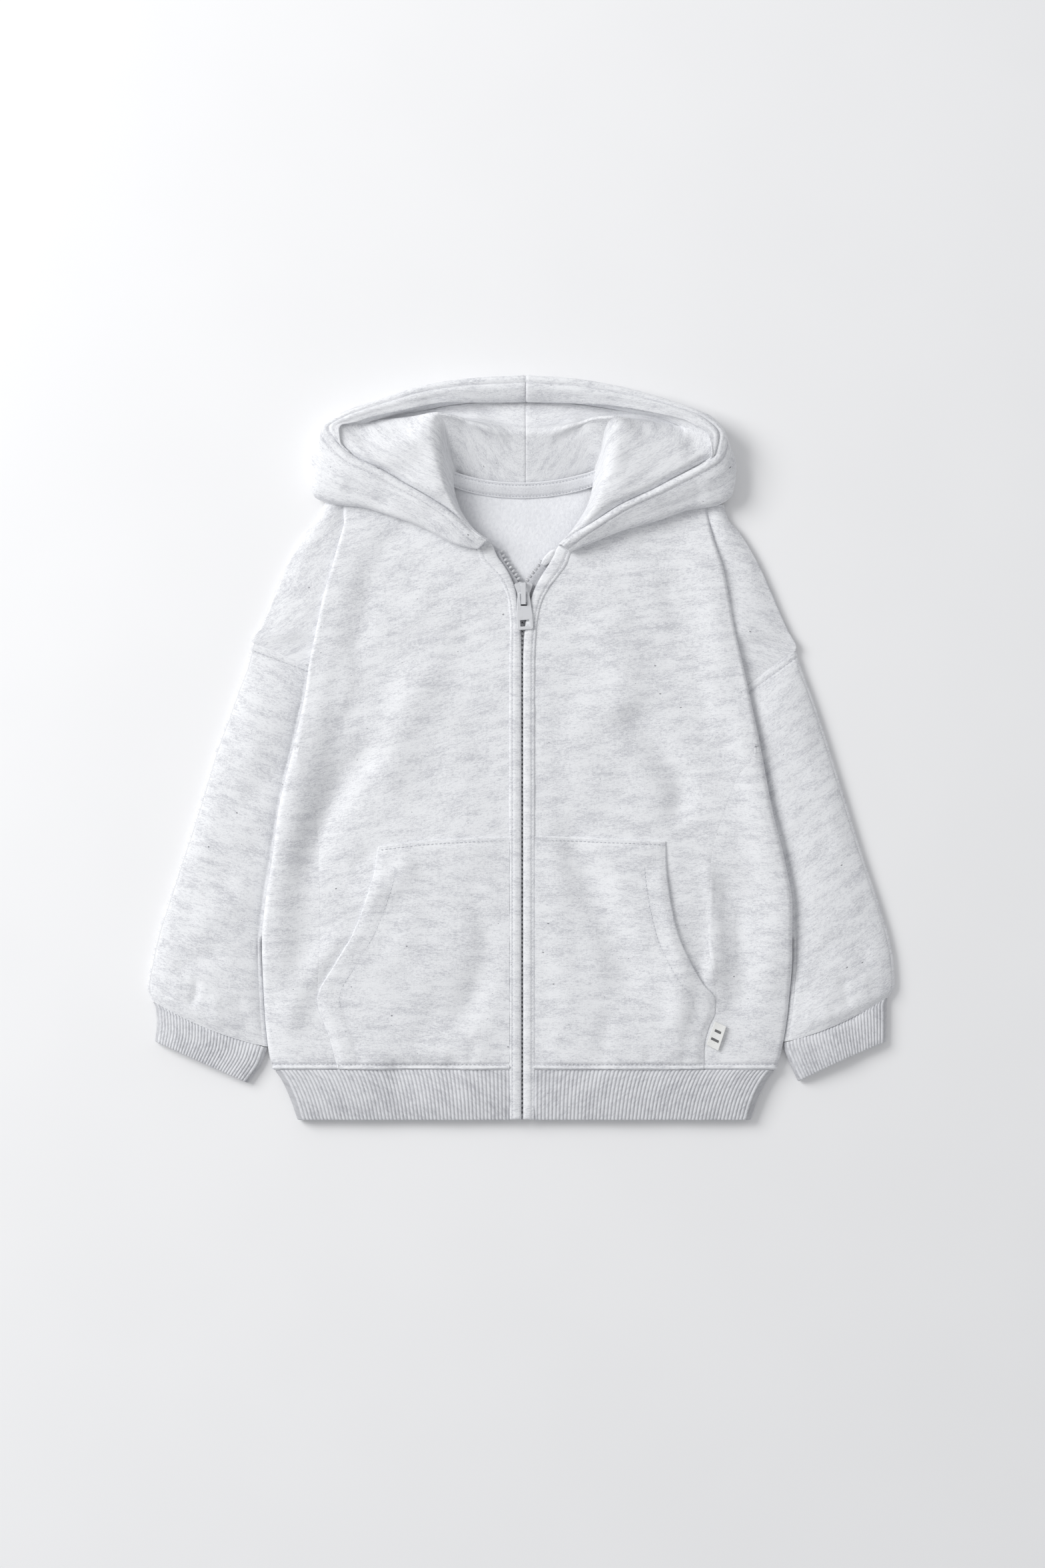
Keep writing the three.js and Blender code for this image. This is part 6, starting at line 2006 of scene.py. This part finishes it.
@dataclass
class NeckTape:
    """Twill tape over the neck seam."""

    wall_size: float = 1.2
    width: float = 7.5
    stitches: tuple[float, float] = (1.2, 6.4)

    def build(self, wardrobe: Wardrobe) -> list[Piece]:
        """Make the tape.

        Args:
            wardrobe: The finishes.

        Returns:
            The tape.
        """
        s = rounded_ends(np.linspace(0, 8, 70), 0.06)
        rows = row_track(NECK_TAPE)(s)
        f = rounded_ends(np.linspace(0, self.width, 20), self.wall_size)[None, :] / self.width
        x, y, z = (mix(rows[:, n:n + 1], rows[:, n + 3:n + 4], f) for n in range(3))
        z = z + NECK_LIFT + 0.35 * np.sin(np.pi * f) + 0.15 * np.sin(s * 5)[:, None]
        d = f * self.width
        upper, lower = self.stitches
        relief = -0.4 * hump(d - upper, 0.55) - 0.4 * hump(d - lower, 0.55) + 0 * x
        self.wall = ClothWall(np.stack([x, y, z], axis=2), self.wall_size, relief, turned=True)
        self.wall.uv = self.wall.run_lengths()
        tape = self.wall.build("neck_tape_twill", [wardrobe.tape])
        self.columns = [float(np.interp(at, d[0], np.arange(d.size))) for at in self.stitches]
        return [Piece(tape, Slot.TAPE, ("neck_tape",), (106, 12), Hold.LAID, ("back_panel_cloth",), 0.8)]

    def seams(self) -> list[Seam]:
        """Return the two rows of sewing."""
        rows = np.linspace(3, self.wall.points.shape[0] - 4, 90)
        return [Seam.on_wall(self.wall, rows, np.full_like(rows, column), 0.28) for column in self.columns]


@dataclass
class SideLabel:
    """Small ribbon label caught in the side of the pocket, with two plain woven bars."""

    corners: tuple = ((127.6, -178.4), (135.1, -181.9), (129.8, -197.8), (121.9, -193.8))
    wall_size: float = 0.7
    lift: float = 0.9
    length: float = 17.0
    width: float = 8.3

    def build(self, wardrobe: Wardrobe) -> list[Piece]:
        """Make the label.

        Args:
            wardrobe: The finishes.

        Returns:
            The label.
        """
        a, b, c, d = (np.array(corner) for corner in self.corners)
        v = rounded_ends(np.linspace(0, self.length, 24), self.wall_size)[:, None, None] / self.length
        u = rounded_ends(np.linspace(0, self.width, 14), self.wall_size)[None, :, None] / self.width
        flat = mix(mix(a, b, u), mix(d, c, u), v)
        x, y = flat[..., 0], flat[..., 1]
        rise = CLOTH / 2 + self.lift + 1.1 * u[..., 0] ** 2 + 0.3 * np.sin(np.pi * v[..., 0]) * u[..., 0]
        points = np.stack([x, y, PATTERN.front_height(Side.LEFT, x, y) + rise], axis=2)
        wall = ClothWall(points, self.wall_size)
        wall.uv = np.stack([(u[..., 0] - 0.5) * self.width + 0 * x, v[..., 0] * self.length + 0 * x], axis=2)
        ribbon = wall.build("side_label_ribbon", [wardrobe.label])
        return [Piece(ribbon, Slot.LABEL, ("side_label",), (10, 17), Hold.LAID, ("front_left_cloth",), 0.83)]


@dataclass
class Sewing:
    """All the visible stitches."""

    stitch: Repeat = Repeat("stitches", 2.7, 2.0, 0.55, 0.42, seed=11)
    fine: Repeat = Repeat("fine_stitches", 2.2, 1.45, 0.5, 0.4, seed=12)

    def build(self, wardrobe: Wardrobe, lines: dict[str, list[Seam]]) -> list[Piece]:
        """Make the stitches along the given lines.

        Args:
            wardrobe: The finishes.
            lines: Sewing lines under the name of their piece.

        Returns:
            One piece for each name.
        """
        pieces = []
        for name, seams in lines.items():
            kind = self.fine if "neck" in name else self.stitch
            pieces.append(Piece(kind.along(name, seams, wardrobe.thread), Slot.JERSEY))
        return pieces


@dataclass
class Studio:
    """Pale floor, soft lights and the camera over the garment.

    Attributes:
        distance: Height of the camera, in metres.
        frame_height: Height of the picture on the surface, in metres.
        middle: Middle of the picture on the surface, in metres.
        sensor: Width of the camera's sensor, in millimetres.
    """

    distance: float = 3.0
    frame_height: float = 1.03488
    middle: tuple[float, float] = (0.0009, -0.0237)
    sensor: float = 36.0

    def build(self) -> None:
        """Make the floor, the lights and the camera."""
        self._floor()
        self._light("window_light", (-1.85, 1.0, 1.6), 1.4, 51.0)
        self._light("fill_light", (2.4, -1.2, 2.6), 3.0, 4.0)
        world = bpy.data.worlds.new("studio")
        world.use_nodes = True
        background = world.node_tree.nodes["Background"]
        background.inputs["Color"].default_value = (0.97, 0.98, 1.0, 1.0)
        background.inputs["Strength"].default_value = 0.5
        scene = bpy.context.scene
        scene.world = world
        scene.view_settings.view_transform = "Standard"
        lens = bpy.data.cameras.new("camera_over_garment")
        lens.sensor_width = self.sensor
        lens.lens = self.sensor * self.distance / self.frame_height
        camera = link(bpy.data.objects.new("camera_over_garment", lens))
        camera.location = (*self.middle, self.distance)
        scene.camera = camera

    @staticmethod
    def _floor() -> None:
        """Make the floor."""
        g = Graph("pale_floor")
        place = g.on_object()
        soft = g.noise(g.scaled(place, (9.0, 9.0, 9.0)), 2.0)
        colour = g.blend(soft.step(0.3, 0.7), (0.93, 0.93, 0.935, 1), (0.92, 0.92, 0.925, 1))
        g.fill(g.shader, {"Base Color": colour, "Roughness": 0.95, "Specular IOR Level": 0.1})
        size, level = 6000.0, -0.4
        corners = np.array([(x * size, y * size, level) for x, y in ((-1, -1), (1, -1), (1, 1), (-1, 1))])
        floor = make_mesh("pale_floor", corners, np.array([[0, 1, 2, 3]]), [g.material])

    @staticmethod
    def _light(name: str, place: tuple[float, float, float], size: float, power: float) -> None:
        """Add a square soft light that faces the garment.

        Args:
            name: Name of the light.
            place: Its place in metres.
            size: Its side in metres.
            power: Its power in watts.
        """
        data = bpy.data.lights.new(name, "AREA")
        data.size = size
        data.energy = power
        lamp = link(bpy.data.objects.new(name, data))
        lamp.location = place
        lamp.rotation_euler = (-Vector(place)).to_track_quat("-Z", "Y").to_euler()


# Name of the stitches of each piece that is sewn in sight
STITCHES = {Back: "hem_stitches", NeckTape: "neck_stitches", Sleeve: "armhole_stitches",
            Pocket: "pocket_stitches", Hood: "hood_stitches", Placket: "placket_stitches"}


def main() -> None:
    """Build the garment and its studio, and report each piece."""
    logging.basicConfig(level=logging.INFO, format="%(name)s %(message)s")
    wardrobe = Wardrobe()
    pieces: list[Piece] = []
    sewing: dict[str, list[Seam]] = {}
    parts: list = [Back(), HemBand(), Zip(), NeckTape(), SideLabel()]
    for side in Side:
        parts += [Front(side), Sleeve(side), Cuff(side), Pocket(side), Hood(side), Placket(side)]
    for part in parts:
        pieces += part.build(wardrobe)
        if type(part) in STITCHES:
            sewing.setdefault(STITCHES[type(part)], []).extend(part.seams())
    pieces += Sewing().build(wardrobe, sewing)
    Studio().build()
    for piece in pieces:
        piece.declare()
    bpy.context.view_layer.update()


if __name__ == "__main__":
    main()
